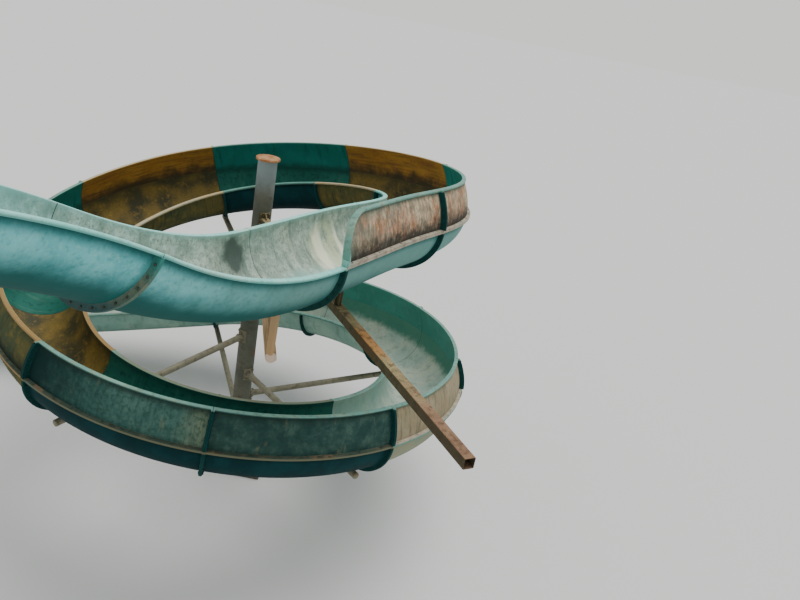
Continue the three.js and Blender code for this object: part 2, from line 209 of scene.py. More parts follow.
# A ragged band: the mask is 1 where Value is at or under From and fades out by To
def bandMask(tree, given):
    cover = clouds(tree, given["Place"], given["Scale"], 5.0, 0.65)
    offset = calculate(tree, "SUBTRACT", cover, 0.5)
    width = calculate(tree, "SUBTRACT", given["To"], given["From"])
    shift = calculate(tree, "MULTIPLY", offset, calculate(tree, "MULTIPLY", width, 2.0))
    shifted = calculate(tree, "MULTIPLY_ADD", shift, given["Ragged"], given["Value"])
    return calculate(tree, "SUBTRACT", 1.0, softStep(tree, shifted, given["From"], given["To"]))


# Small specks, such as lichen, chips and pits
def specksMask(tree, given):
    inputs = {"Vector": given["Place"], "Scale": given["Scale"]}
    cells = addNode(tree, "TexVoronoi", inputs).outputs
    inside = calculate(tree, "LESS_THAN", cells["Distance"], given["Size"])
    chance = addNode(tree, "SeparateColor", {"Color": cells["Color"]}).outputs[0]
    return calculate(tree, "MULTIPLY", inside, calculate(tree, "LESS_THAN", chance, given["Cover"]))


# One spot, such as a stain or a bleached place, with ragged edges
def spotMask(tree, given):
    away = calculate(tree, "SUBTRACT", given["Place"], given["Centre"], kind="VectorMath")
    scaled = calculate(tree, "DIVIDE", away, given["Half Size"], kind="VectorMath")
    length = addNode(tree, "VectorMath", {0: scaled}, operation="LENGTH").outputs["Value"]
    ragged = calculate(tree, "MULTIPLY_ADD", clouds(tree, given["Place"], 12.0, 6.0), 0.8, length)
    return calculate(tree, "SUBTRACT", 1.0, softStep(tree, ragged, 0.95, 1.6))


# Height of a hand-laid laminate: broad waves and fibre grain
def reliefHeight(tree, given):
    waves = clouds(tree, given["Place"], given["Wave Scale"], 2.0)
    grain = clouds(tree, given["Place"], given["Grain Scale"], 5.0)
    return calculate(tree, "MULTIPLY_ADD", grain, given["Grain"], waves)


# Groups of shader nodes: each puts out one value that changes over the surface
effects = {
    "patches": (patchesMask, "Place", "Scale", "Low", "High"),
    "streaks": (streaksMask, "Lay", "Per Metre", "Length", "Low", "High"),
    "band": (bandMask, "Place", "Value", "From", "To", "Ragged", "Scale"),
    "specks": (specksMask, "Place", "Scale", "Size", "Cover"),
    "spot": (spotMask, "Place", "Centre", "Half Size"),
    "relief": (reliefHeight, "Place", "Wave Scale", "Grain Scale", "Grain"),
}


def makeGroup(name, effect, *labels):
    tree = bpy.data.node_groups.new(name, "ShaderNodeTree")
    for label in labels:
        kind = "Vector" if label in ("Place", "Lay", "Centre", "Half Size") else "Float"
        tree.interface.new_socket(label, in_out="INPUT", socket_type=f"NodeSocket{kind}")
    tree.interface.new_socket("Value", in_out="OUTPUT", socket_type="NodeSocketFloat")
    result = effect(tree, tree.nodes.new("NodeGroupInput").outputs)
    tree.links.new(result, tree.nodes.new("NodeGroupOutput").inputs["Value"])
    return tree


groups = {name: makeGroup(name, *effect) for name, effect in effects.items()}

# Measures that a layer can follow: the vector and the axis that hold each
measures = {
    "along": ("lay", "X"),  # metres along the course
    "across": ("lay", "Z"),  # metres outward from the centreline
    "depth": ("reach", "X"),  # 0 at the rim, 1 at the lowest place
    "joint": ("reach", "Y"),  # metres from the nearest end of the section
    "rim": ("reach", "Z"),  # metres below the rim
    "height": ("Position", "Z"),  # metres above the ground
    "upright": ("Normal", "Z"),  # 0 where the surface faces the sky
}


def readVector(tree, name):
    if name in ("lay", "reach"):
        return addNode(tree, "Attribute", attribute_name=name).outputs["Vector"]
    return addNode(tree, "NewGeometry").outputs[name]


def readMeasure(tree, name):
    vector, axis = measures[name]
    value = addNode(tree, "SeparateXYZ", {0: readVector(tree, vector)}).outputs[axis]
    return calculate(tree, "SUBTRACT", 1.0, value) if name == "upright" else value


def useGroup(tree, name, *values):
    return addNode(tree, "Group", dict(enumerate(values)), node_tree=groups[name]).outputs[0]


# Mask of one layer of a finish
def layerMask(tree, layer):
    values = [readVector(tree, "lay" if layer["group"] == "streaks" else "Position")]
    if "measure" in layer:
        values.append(readMeasure(tree, layer["measure"]))
    mask = useGroup(tree, layer["group"], *values, *layer["sizes"])
    if layer.get("beyond"):
        mask = calculate(tree, "SUBTRACT", 1.0, mask)
    if "within" in layer:
        mask = calculate(tree, "MULTIPLY", mask, layerMask(tree, layer["within"]))
    return mask


# Sizes and gloss of a finish where its own entry says nothing else
plainFinish = {
    "rough": 0.6,
    "metal": 0.0,
    "specular": 0.35,
    "waves": 3.0,  # scale of the broad waves
    "grain": 70.0,  # scale of the grain
    "grainDepth": 0.12,
    "bump": 0.35,
    "relief": 0.01,  # metres
}


# A weathered finish: a base colour with layers painted over it, from the first to the last; some
# layers are painted shade or painted highlights
def makeFinish(name, given):
    look = {**plainFinish, **given}
    material = bpy.data.materials.new(name)
    material.use_nodes = True
    tree = material.node_tree
    tree.nodes.clear()
    colour, rough, metal = srgb(look["base"]), look["rough"], look["metal"]
    for layer in look["layers"]:
        strength = calculate(tree, "MULTIPLY", layerMask(tree, layer), layer["amount"])
        inputs = {0: strength, 6: colour, 7: srgb(layer["colour"])}
        colour = addNode(tree, "Mix", inputs, data_type="RGBA").outputs[2]
        if "rough" in layer:
            inputs = {0: strength, 2: rough, 3: layer["rough"]}
            rough = addNode(tree, "Mix", inputs).outputs[0]
        if layer.get("dull"):
            metal = addNode(tree, "Mix", {0: strength, 2: metal, 3: 0.0}).outputs[0]
    place = readVector(tree, "Position")
    height = useGroup(tree, "relief", place, look["waves"], look["grain"], look["grainDepth"])
    inputs = {"Strength": look["bump"], "Distance": look["relief"], "Height": height}
    normal = addNode(tree, "Bump", inputs).outputs["Normal"]
    inputs = {"Base Color": colour, "Roughness": rough, "Metallic": metal, "Normal": normal}
    shader = addNode(tree, "BsdfPrincipled", inputs)
    shader.inputs["Specular IOR Level"].default_value = look["specular"]
    addNode(tree, "OutputMaterial", {"Surface": shader.outputs[0]})
    return material


# A layer of a finish: the inputs of its effect after the place, then its colour and amount
def makeLayer(group, *values, **more):
    *sizes, colour, amount = values
    return {"group": group, "sizes": sizes, "colour": colour, "amount": amount, **more}


# A band up to a value of a measure: whole at the start, gone at the end
def upTo(measure, start, end, colour, amount, ragged=0.3, scale=9.0, **more):
    values = (start, end, ragged, scale, colour, amount)
    return makeLayer("band", *values, measure=measure, **more)


patches = partial(makeLayer, "patches")
streaks = partial(makeLayer, "streaks")
specks = partial(makeLayer, "specks")
spot = partial(makeLayer, "spot")
beyond = partial(upTo, beyond=True)

# Finishes of the laminate, as seen in the photograph
seamLine = upTo("joint", 0.001, 0.006, "#1c2f2a", 0.85, 0.2)
bleachedPlace = spot((1.10, -1.87, 4.13), (0.34, 0.42, 0.30), "#ffffff", 1.0)
inletPart = upTo("along", -3.2, -1.5, "#ffffff", 1.0)
rustyPlaces = patches(3.0, 0.46, 0.56, "#ffffff", 1.0)

laminate = {
    "aquaOutside": dict(base="#72c2c5", rough=0.75, specular=0.12, layers=[
        patches(1.3, 0.35, 0.65, "#86d0d3", 0.7), patches(5, 0.4, 0.7, "#4fa3a7", 0.5),
        streaks(9, 0.9, 0.52, 0.75, "#9ad6d2", 0.3), patches(38, 0.5, 0.66, "#aedbd0", 0.25),
        patches(24, 0.5, 0.7, "#3a8f8d", 0.5), beyond("along", -5.3, -3.5, "#5c7c70", 0.75, 0.4, 3),
        # Painted shade under the trough: darker towards the lowest place, more so on the inlet part
        beyond("depth", 0.28, 0.72, "#0a4f4c", 0.95, 0.25, 2.5, within=inletPart),
        beyond("depth", 0.55, 0.95, "#1a4d48", 0.85, 0.3, 2.5),
        # Painted shadow of the lip: the first layer here is a dark band just under the rim
        upTo("rim", 0.03, 0.12, "#0a5552", 0.9, 0.15), upTo("joint", 0, 0.12, "#1c6f6b", 0.5, 0.5),
    ]),
    "aquaInside": dict(base="#b7c9ba", rough=0.6, layers=[
        patches(1.6, 0.35, 0.6, "#d0d6c2", 0.7), beyond("height", 4.35, 5, "#8cc4b7", 0.85, 0.4, 3),
        upTo("along", -4.1, -3.4, "#d3e8dc", 0.6), patches(5, 0.44, 0.6, "#7d9184", 0.7),
        patches(18, 0.45, 0.6, "#8b9d8f", 0.6), streaks(9, 0.7, 0.5, 0.64, "#6b7d70", 0.6),
        streaks(18, 0.25, 0.5, 0.68, "#d0d4bf", 0.4), patches(45, 0.5, 0.66, "#55675b", 0.5),
        upTo("rim", 0, 0.05, "#8fc4b8", 0.6, 0.4),
        beyond("depth", 0.75, 1, "#a9dcd2", 0.6, 0.5, 3),
        patches(4, 0.4, 0.6, "#dfe3b4", 0.65, within=bleachedPlace),
        streaks(5, 1.4, 0.5, 0.62, "#fffbdc", 0.85, within=bleachedPlace),
        spot((0.42, -3.14, 4.39), (0.15, 0.15, 0.2), "#46534c", 0.92),
        upTo("along", -5.9, -4.7, "#86c9c2", 0.75, 0.3, 2), seamLine,
    ]),
    "aquaLip": dict(base="#8cdfd2", rough=0.5, layers=[
        patches(3, 0.4, 0.7, "#b2ebe0", 0.7), patches(26, 0.48, 0.7, "#7b9f92", 0.45),
        # Painted shade on the lip's turned-down front face: the rim layer on this line
        patches(0.9, 0.52, 0.66, "#bccfb8", 0.5), beyond("rim", 0.006, 0.02, "#3f837b", 0.75, 0.2),
        seamLine,
    ]),
    "aquaFlange": dict(base="#5f7263", rough=0.8, specular=0.12, layers=[
        # Painted shade: the teal band near the rim is the flange's teal darkened for the lip's
        # shadow, the lower part is darker, and flanges from about -3.3 m along are near-black
        patches(14, 0.4, 0.7, "#7f7f68", 0.6), upTo("rim", 0.06, 0.22, "#2f8279", 0.85),
        beyond("depth", 0.6, 1, "#34575a", 0.8), patches(60, 0.5, 0.7, "#2c423c", 0.5),
        beyond("along", -3.4, -3.3, "#0d3a37", 0.97, 0.1),
    ]),
    # The flange's teal darkened to near-black as painted shade, its faces turned away from the sky
    "darkFlange": dict(base="#0e3a38", rough=0.8, specular=0.12, layers=[
        patches(8, 0.4, 0.7, "#164b47", 0.5), patches(40, 0.5, 0.75, "#0a2b2b", 0.6),
    ]),
    "leadingEdge": dict(base="#86bfb2", rough=0.55, layers=[
        patches(9, 0.4, 0.7, "#68a899", 0.6), patches(45, 0.5, 0.75, "#4b6f66", 0.5),
    ]),
    "faded": dict(base="#c2a98b", rough=0.8, specular=0.1, layers=[
        patches(2.4, 0.44, 0.6, "#b5805f", 0.8), patches(1.7, 0.5, 0.64, "#92988a", 0.6),
        streaks(9, 0.7, 0.52, 0.68, "#c8b9a2", 0.55), streaks(16, 0.2, 0.5, 0.66, "#d6cda9", 0.6),
        streaks(26, 0.15, 0.48, 0.62, "#57503f", 0.55),
        streaks(20, 0.1, 0.5, 0.62, "#a0622f", 0.65, within=rustyPlaces),
        patches(8, 0.45, 0.62, "#6a6454", 0.55), patches(26, 0.46, 0.62, "#6d685a", 0.45),
        upTo("along", -3.15, -2.6, "#5d6f63", 0.6, 0.6, 6),
        beyond("depth", 0.5, 0.95, "#2f302c", 0.92, 0.8, 12),
        # Painted shadow of the lip: the first layer here is a band just under the rim
        upTo("rim", 0.02, 0.09, "#566c5e", 0.8, 0.4), upTo("joint", 0, 0.05, "#4a5850", 0.6, 0.5),
    ]),
    "ledge": dict(base="#a29a88", rough=0.85, specular=0.2, layers=[
        patches(4, 0.42, 0.62, "#c2ad95", 0.7), patches(13, 0.46, 0.66, "#7d7565", 0.7),
        patches(2, 0.5, 0.66, "#93a396", 0.45), specks(45, 0.3, 0.3, "#57503f", 0.5),
    ]),
    "mossyLedge": dict(base="#3d4a3e", rough=0.85, specular=0.2, layers=[
        patches(3, 0.44, 0.62, "#5d5a48", 0.6), patches(1.6, 0.58, 0.66, "#86684b", 0.5),
        patches(14, 0.46, 0.68, "#24332c", 0.8),
    ]),
    "darkInside": dict(base="#117468", rough=0.65, specular=0.2, layers=[
        patches(4, 0.4, 0.7, "#18877a", 0.6), streaks(14, 0.6, 0.52, 0.72, "#0a4b46", 0.6),
        beyond("depth", 0.75, 1, "#173f38", 0.7, 0.6), seamLine,
        # Painted highlight: a thin light line along the top of the inside face
        upTo("rim", 0.01, 0.016, "#7fb5a5", 0.85, 0.1),
    ]),
    "ochreInside": dict(base="#ab7a30", rough=0.6, layers=[
        patches(1.5, 0.4, 0.65, "#bf8d3e", 0.7), streaks(1.6, 0.05, 0.46, 0.64, "#80562a", 0.7),
        streaks(2.4, 0.03, 0.52, 0.7, "#54422a", 0.7), patches(7, 0.5, 0.7, "#8f5a30", 0.5),
        patches(26, 0.52, 0.72, "#5f4f2e", 0.55),
        beyond("depth", 0.45, 1, "#2a2d20", 0.9, 0.9, 5), seamLine,
        # Painted highlight: a thin light line along the top of the inside face
        upTo("rim", 0.01, 0.016, "#d0aa6c", 0.85, 0.1),
    ]),
    "ochreFloor": dict(base="#7e682d", rough=0.7, layers=[
        patches(3, 0.38, 0.6, "#2c3424", 0.85), patches(12, 0.5, 0.7, "#a58538", 0.55),
        patches(34, 0.5, 0.7, "#3a3a28", 0.5), upTo("rim", 0, 0.12, "#3b3a26", 0.6, 0.5), seamLine,
    ]),
    "ochreOutside": dict(base="#5e5833", rough=0.85, specular=0.12, layers=[
        patches(2, 0.4, 0.62, "#3c4a34", 0.8), patches(10, 0.48, 0.7, "#7f6d38", 0.5),
        # The depth layer here is painted shade under the trough: darker towards the lowest place
        streaks(20, 0.6, 0.5, 0.7, "#2c3127", 0.65), beyond("depth", 0.5, 0.95, "#1b2d27", 0.85, 0.4),
    ]),
    "creamLip": dict(base="#b9b191", rough=0.6, layers=[
        patches(4, 0.4, 0.65, "#c9a468", 0.6), patches(24, 0.5, 0.75, "#7d765c", 0.6),
        # Painted shade on the lip's turned-down front face: the rim layer on this line
        beyond("rim", 0.006, 0.02, "#6d6a4e", 0.6, 0.2), seamLine,
        beyond("along", 8.2, 8.6, "#8a6829", 0.88, 0.3, 2),
    ]),
    "tealInside": dict(base="#1b6153", rough=0.7, specular=0.2, layers=[
        patches(3, 0.4, 0.65, "#287162", 0.6), patches(14, 0.5, 0.72, "#0c3b34", 0.7),
        streaks(12, 0.5, 0.54, 0.74, "#4f8067", 0.5), upTo("rim", 0, 0.1, "#0c4038", 0.7, 0.4),
        seamLine,
    ]),
    "tealOutside": dict(base="#062e31", rough=0.75, specular=0.1, layers=[
        patches(2.4, 0.4, 0.65, "#0c3f42", 0.6), streaks(9, 0.6, 0.5, 0.7, "#06282b", 0.6),
        # Painted shade: darker towards the lowest place under the trough, and a dark band just under
        # the lip
        beyond("depth", 0.4, 0.95, "#041b20", 0.9, 0.4), upTo("rim", 0.03, 0.1, "#052224", 0.8, 0.3),
    ]),
    "tealLip": dict(base="#66998b", rough=0.55, layers=[
        patches(4, 0.4, 0.65, "#86ad98", 0.6), patches(7, 0.5, 0.65, "#8b9070", 0.5),
        # Painted shade on the lip's turned-down front face: the rim layer on this line
        patches(20, 0.48, 0.7, "#4f6153", 0.6), beyond("rim", 0.006, 0.02, "#3a7064", 0.7, 0.2),
        seamLine,
    ]),
    "mossyLip": dict(base="#5c9283", rough=0.6, layers=[
        patches(4, 0.4, 0.65, "#76a593", 0.6), patches(20, 0.5, 0.72, "#4d6253", 0.6),
        beyond("across", 0.1, 0.2, "#2c5046", 0.75, 0.1), patches(1.6, 0.52, 0.62, "#5d5c3a", 0.5),
        # Painted shade on the lip's turned-down front face: the rim layer on this line
        beyond("rim", 0.006, 0.02, "#1d4a42", 0.7, 0.2), seamLine,
        beyond("along", 9.6, 10.2, "#6f694c", 0.75, 0.3, 2),
    ]),
    "greyPanel": dict(base="#4a6e64", rough=0.75, specular=0.12, layers=[
        patches(1.6, 0.35, 0.65, "#27524c", 0.75),
        beyond("along", 11.3, 11.55, "#8b8f6e", 0.5, 0.9, 6),
        beyond("along", 11.59, 11.61, "#0a3435", 0.9, 0.2), patches(7, 0.4, 0.7, "#6b8a7a", 0.3),
        streaks(34, 0.3, 0.45, 0.7, "#2c473e", 0.5), streaks(11, 0.4, 0.6, 0.72, "#8d8663", 0.35),
        patches(24, 0.46, 0.64, "#284a41", 0.6), upTo("along", 9.95, 10.85, "#052726", 0.93, 0.5, 4),
        # Painted shadow of the lip: a dark band just under the rim
        upTo("rim", 0.02, 0.11, "#20352e", 0.8, 0.5),
    ]),
    "brownPanel": dict(base="#90856a", rough=0.8, specular=0.12, layers=[
        patches(3, 0.4, 0.64, "#a1957a", 0.7), streaks(24, 0.3, 0.48, 0.68, "#665d4a", 0.7),
        streaks(11, 0.4, 0.55, 0.7, "#9f7550", 0.5), patches(26, 0.5, 0.7, "#757459", 0.5),
        # Painted shadow of the lip: a band just under the rim
        upTo("rim", 0.02, 0.08, "#5d6a5a", 0.6, 0.4),
    ]),
    "greenWall": dict(base="#2c8172", rough=0.5, layers=[
        patches(2, 0.42, 0.66, "#3b9384", 0.6), patches(10, 0.5, 0.72, "#1d675a", 0.6),
        streaks(7, 0.6, 0.56, 0.74, "#669583", 0.5), patches(30, 0.52, 0.7, "#527e6d", 0.4), seamLine,
        # Painted highlight: a thin light line along the top of the inside face
        upTo("rim", 0.01, 0.016, "#8cc0b3", 0.85, 0.1),
    ]),
    "paleFloor": dict(base="#bccfc1", rough=0.6, layers=[
        patches(2.2, 0.4, 0.64, "#dcddc8", 0.75), patches(8, 0.48, 0.68, "#93aa9a", 0.6),
        patches(30, 0.52, 0.74, "#6f8172", 0.45), upTo("across", -0.5, -0.3, "#79a598", 0.7, 0.4),
        beyond("across", 0.41, 0.475, "#2c7b67", 0.92, 0.5), seamLine,
    ]),
    "paleOutside": dict(base="#7fa799", rough=0.75, specular=0.15, layers=[
        patches(1.6, 0.4, 0.62, "#9cb9a9", 0.75), beyond("across", 0, 0.3, "#8d8567", 0.8, 0.5),
        patches(7, 0.46, 0.68, "#688c7e", 0.5), streaks(12, 0.6, 0.52, 0.7, "#6a7a6c", 0.5),
        # Painted shade under the trough: darker towards the lowest place
        beyond("depth", 0.6, 1, "#335b55", 0.75, 0.4),
    ]),
}

tealLip = laminate["tealLip"]
shadedEdge = beyond("rim", 0.004, 0.012, "#0d3a38", 0.85, 0.2)
laminate["shadedLip"] = {**tealLip, "layers": [*tealLip["layers"], shadedEdge]}

# Finishes of steel, timber and concrete
wornPaint = {"waves": 8.0, "grain": 120.0, "relief": 0.003}
deepRust = {"rough": 0.9, "metal": 0.1, "specular": 0.2, "grainDepth": 0.5}

steelwork = {
    "dullPaint": dict(base="#55594c", rough=0.65, metal=0.2, **wornPaint, layers=[
        patches(3, 0.4, 0.65, "#757162", 0.6), patches(12, 0.5, 0.68, "#3f4037", 0.6),
        patches(5, 0.58, 0.66, "#744a30", 0.6, rough=0.9, dull=True),
        specks(90, 0.22, 0.3, "#4a3526", 0.6), beyond("height", 3.9, 4.35, "#8f9d9d", 0.85, 0.4, 5),
        upTo("height", 0.05, 0.5, "#54463a", 0.6, 0.5, 4),
    ]),
    "armPaint": dict(base="#7b7763", rough=0.7, metal=0.15, **wornPaint, layers=[
        patches(3, 0.4, 0.65, "#908a72", 0.6), patches(14, 0.5, 0.68, "#54513f", 0.7),
        patches(5, 0.6, 0.68, "#7d5334", 0.6, rough=0.9, dull=True),
        specks(80, 0.25, 0.35, "#4b4334", 0.6),
    ]),
    "boltSteel": dict(base="#4a5249", rough=0.7, metal=0.3, layers=[
        patches(30, 0.45, 0.65, "#66695d", 0.6), patches(70, 0.55, 0.7, "#4d3a2c", 0.6),
    ]),
    # Bolts painted over in the flange colour and darkened with it as painted shade
    "paintedShadedBolt": dict(base="#123d39", rough=0.8, specular=0.12, layers=[
        patches(30, 0.45, 0.65, "#1b4a43", 0.6), patches(70, 0.55, 0.7, "#18302c", 0.6),
    ]),
    "rust": dict(base="#978661", **deepRust, waves=14.0, grain=90.0, bump=0.6, relief=0.006, layers=[
        patches(4, 0.4, 0.62, "#b3a276", 0.8), patches(9, 0.46, 0.64, "#7b6d50", 0.6),
        spot((1.75, -2.93, 3.7), (0.3, 0.3, 0.3), "#b57a3e", 0.7),
        spot((2.75, -4.5, 3.7), (1.1, 1.1, 0.6), "#8f6654", 0.7),
        patches(16, 0.47, 0.66, "#5b4735", 0.8), specks(70, 0.3, 0.45, "#4b4032", 0.7),
        # Painted shade: faces turned away from the sky are darker
        beyond("upright", 0.25, 0.6, "#42402f", 0.85, 0.2),
    ]),
    "orangeRust": dict(base="#ab744c", **deepRust, waves=20.0, grain=110.0,
        bump=0.5, relief=0.005, layers=[
        patches(9, 0.42, 0.62, "#c9a274", 0.7), patches(28, 0.5, 0.7, "#7d4629", 0.7),
        specks(110, 0.28, 0.4, "#57331f", 0.6),
    ]),
    "bareTimber": dict(base="#b9966c", rough=0.85, specular=0.2, waves=9.0, grain=60.0,
        grainDepth=0.5, relief=0.006, layers=[
        streaks(1.2, 0.02, 0.42, 0.62, "#8c7450", 0.8),
        streaks(2.5, 0.008, 0.5, 0.66, "#5f4e36", 0.7), patches(4, 0.45, 0.65, "#a58f74", 0.6),
    ]),
    "sawnEnd": dict(base="#d9c3ae", rough=0.85, specular=0.2, layers=[
        streaks(1, 0.006, 0.45, 0.6, "#b39780", 0.75), patches(20, 0.5, 0.7, "#a48b78", 0.5),
    ]),
    "roughConcrete": dict(base="#a5a196", rough=0.95, specular=0.15, waves=10.0, grain=140.0,
        grainDepth=0.7, bump=0.6, relief=0.005, layers=[
        patches(3, 0.4, 0.65, "#bdb8ab", 0.6), patches(10, 0.5, 0.7, "#6f7264", 0.6),
        specks(60, 0.2, 0.35, "#5b5a52", 0.6), upTo("height", 0.02, 0.15, "#54583f", 0.6, 0.6, 6),
    ]),
}

finishes = {name: makeFinish(name, look) for name, look in {**laminate, **steelwork}.items()}
print("finishes made:", len(finishes))

# Mesh helpers
skyward = Vector((0, 0, 1))


def around(radius, angle, height=0.0):
    return Vector((radius * math.cos(angle), radius * math.sin(angle), height))


def ringFaces(rows, count):
    faces = []
    for near in range(0, (rows - 1) * count, count):
        for place in range(count):
            follow = (place + 1) % count
            faces.append((near + place, near + follow, near + count + follow, near + count + place))
    faces.append(tuple(reversed(range(count))))
    faces.append(tuple(range((rows - 1) * count, rows * count)))
    return faces


# Closed shells that are collected into one piece, with the values that the finishes read
def newShells():
    return {"points": [], "faces": [], "materials": [], "lay": [], "reach": [], "paint": 0}


def addShell(shells, points, faces, materials=None, lay=None, reach=None):
    first = len(shells["points"])
    shells["points"] += points
    shells["faces"] += [tuple(first + corner for corner in face) for face in faces]
    shells["materials"] += materials or [shells["paint"]] * len(faces)
    for label, vectors in (("lay", lay), ("reach", reach)):
        shells[label] += vectors or [(0.0, 0.0, 0.0)] * len(points)


def softenEdges(piece, width):
    edge = piece.modifiers.new("softEdges", "BEVEL")
    edge.width = width
    edge.segments = 2
    edge.limit_method = "ANGLE"
    edge.angle_limit = math.radians(40)


def makePiece(name, shells, materials, replaced=None, bevel=0.0, sharpAngle=35):
    mesh = bpy.data.meshes.new(name)
    mesh.from_pydata(shells["points"], [], shells["faces"])
    for material in materials:
        mesh.materials.append(finishes[material])
    mesh.polygons.foreach_set("material_index", shells["materials"])
    for label in ("lay", "reach"):
        values = [value for vector in shells[label] for value in vector]
        mesh.attributes.new(label, "FLOAT_VECTOR", "POINT").data.foreach_set("vector", values)
    work = bmesh.new()
    work.from_mesh(mesh)
    bmesh.ops.recalc_face_normals(work, faces=work.faces)
    work.to_mesh(mesh)
    work.free()
    mesh.shade_smooth()
    mesh.set_sharp_from_angle(angle=math.radians(sharpAngle))
    piece = addObject(name, mesh)
    if bevel:
        softenEdges(piece, bevel)
    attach(piece, "root")
    if replaced:
        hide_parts(replaced)


# Corners are (across, rise, radius, zone); a corner with a radius becomes a short curve
def roundOff(corners, steps=3):
    outline = []
    for index, (across, rise, radius, zone) in enumerate(corners):
        if radius == 0:
            outline.append((across, rise, zone))
            continue
        here = Vector((across, rise))
        before = Vector(corners[index - 1][:2]) - here
        after = Vector(corners[(index + 1) % len(corners)][:2]) - here
        start = here + before.normalized() * radius
        end = here + after.normalized() * radius
        for step in range(steps + 1):
            share = step / steps
            point = start * (1 - share) ** 2 + here * 2 * share * (1 - share) + end * share**2
            outline.append((point.x, point.y, zone))
    return outline


# Outline between the plain one and the one of a flange
def blendOutlines(outlineOf, lift, *sizes):
    pairs = zip(outlineOf(False, *sizes), outlineOf(True, *sizes))
    return [(a[0] + (b[0] - a[0]) * lift, a[1] + (b[1] - a[1]) * lift, a[2]) for a, b in pairs]


# Sweeps outlines along the course and closes both ends
def sweepPiece(name, rings, materials, replaced):
    points = []
    lay = []
    reach = []
    for ring in rings:
        walked = 0.0
        previous = ring["outline"][0][:2]
        for across, rise, zone in ring["outline"]:
            walked += math.dist(previous, (across, rise))
            previous = (across, rise)
            points.append(pointAt(ring["at"], across, rise))
            lay.append((ring["at"], walked, across))
            depth = (ring["top"] - rise) / ring["height"]
            reach.append((min(max(depth, 0.0), 1.0), ring["joint"], ring["top"] - rise))
    faceZones = []
    for ring, following in zip(rings, rings[1:]):
        plain = max(ring["flange"], following["flange"]) == 0
        edge = "edge" if ring.get("leading") else "flange"
        for across, rise, zone in ring["outline"]:
            faceZones.append(zone if plain or zone != "outside" else edge)
    faceZones += ["edge" if rings[0].get("leading") else "flange", "flange"]
    faces = ringFaces(len(rings), len(rings[0]["outline"]))
    shells = newShells()
    addShell(shells, points, faces, [list(materials).index(zone) for zone in faceZones], lay, reach)
    makePiece(name, shells, materials.values(), replaced, sharpAngle=38)


# Flume sections

trough = {
    "half": 0.55, "shell": 0.014, "lipDepth": 0.026, "lipWidth": 0.042, "lipThickness": 0.010,
    "turnDown": 0.009, "wall": 0.034, "arcDepth": 0.481, "flange": 0.055,
    "flangeThickness": 0.014, "flangeLipOut": 0.006, "arcSteps": 44, "spacing": 0.06,
    "bevel": 0.0015, "bevelLift": 0.97, "flangeRoot": 0.006,
}
trough["outer"] = trough["half"] - trough["lipWidth"]
trough["inner"] = trough["outer"] - trough["shell"]
jointGap = 0.0003


# Half ellipse below the upright walls, grown outward by a given amount
def arcPoint(angle, grown):
    across = (trough["outer"] + grown) * math.cos(angle)
    return across, (trough["arcDepth"] + grown) * math.sin(angle) - trough["wall"]


def arcPoints(grown, zone):
    steps = trough["arcSteps"]
    angles = [-math.pi * step / steps for step in range(steps + 1)]
    return [(*arcPoint(angle, grown), 0, zone) for angle in angles]


def zoned(corners, zones):
    return [(*corner, zone) for corner, zone in zip(corners, zones)]


def mirrored(corners):
    return [(-across, rise, radius) for across, rise, radius in reversed(corners)]


def troughOutline(flanged, carriesPanel):
    half, outer, inner = trough["half"], trough["outer"], trough["inner"]
    deep, thick = trough["lipDepth"], trough["lipThickness"]
    if flanged:
        edge = half + trough["flangeLipOut"]
        stand = trough["flange"]
        lip = [(inner, 0, 0.006), (edge, 0, 0.004), (edge, -deep, 0.001)]
        lip += [(edge + 0.002, -deep - 0.0006, 0), (edge + 0.004, -deep - 0.0012, 0)]
        lip += [(outer + stand, -deep - 0.002, 0.001)]
        rises = (-0.030, -0.032)
    else:
        turned = half - trough["turnDown"]
        stand = 0
        lip = [(inner, 0, 0.006), (half, 0, 0.007), (half, -deep, 0.003)]
        lip += [(turned, -deep, 0), (turned, -thick, 0), (outer, -thick, 0.006)]
        rises = (-0.020, -0.028)
    down = [(outer + stand, rise, 0) for rise in rises]
    up = [(inner, rise, 0) for rise in (-0.026, -0.012)]
    outside, inside = ["outside"] * 2, ["inside"] * 2
    rightLip = ["inside", "rim", "rim"] if carriesPanel else ["lip"] * 3
    corners = [
        *zoned(lip, [*rightLip, "outside", *outside]),
        *zoned(down, outside),
        *arcPoints(stand, "outside"),
        *zoned(mirrored(down), outside),
        *zoned(mirrored(lip), [*outside, "lip", "lip", "lip", "inside"]),
        *zoned(mirrored(up), inside),
        *reversed(arcPoints(-trough["shell"], "inside")),
        *zoned(up, inside),
    ]
    return roundOff(corners)


# Stations of one section: a bevelled flange at each end and even steps between them
def sectionStations(start, end):
    thick, bevel, lowered = trough["flangeThickness"], trough["bevel"], trough["bevelLift"]
    inset = thick + trough["flangeRoot"]
    lifts = [(0.0, lowered), (bevel, 1.0), (thick - bevel, 1.0), (thick, lowered)]
    lifts += [(thick + 0.001, 0.12), (inset, 0.0)]
    length = end - start - 2 * inset
    plain = max(2, round(length / trough["spacing"]))
    stations = [(start + offset, lift) for offset, lift in lifts]
    stations += [(start + inset + length * step / plain, 0.0) for step in range(1, plain)]
    return stations + [(end - offset, lift) for offset, lift in reversed(lifts)]


def sectionEnds(index):
    return joints[index] + jointGap / 2, joints[index + 1] - jointGap / 2


# Slot of each colour scheme, then the finishes of outside, lip, inside and flange
sectionLooks = {
    "aqua": ("aqua_gelcoat", "aquaOutside", "aquaLip", "aquaInside", "aquaFlange"),
    "ochre": ("yellow_gelcoat", "ochreOutside", "creamLip", "ochreFloor", "darkFlange"),
    "teal": ("teal_gelcoat", "tealOutside", "mossyLip", "tealInside", "darkFlange"),
    "pale": ("teal_gelcoat", "paleOutside", "tealLip", "paleFloor", "darkFlange"),
}
sectionStyles = ["aqua"] * 4 + ["ochre", "teal"] * 3 + ["teal"] + ["pale"] * 6


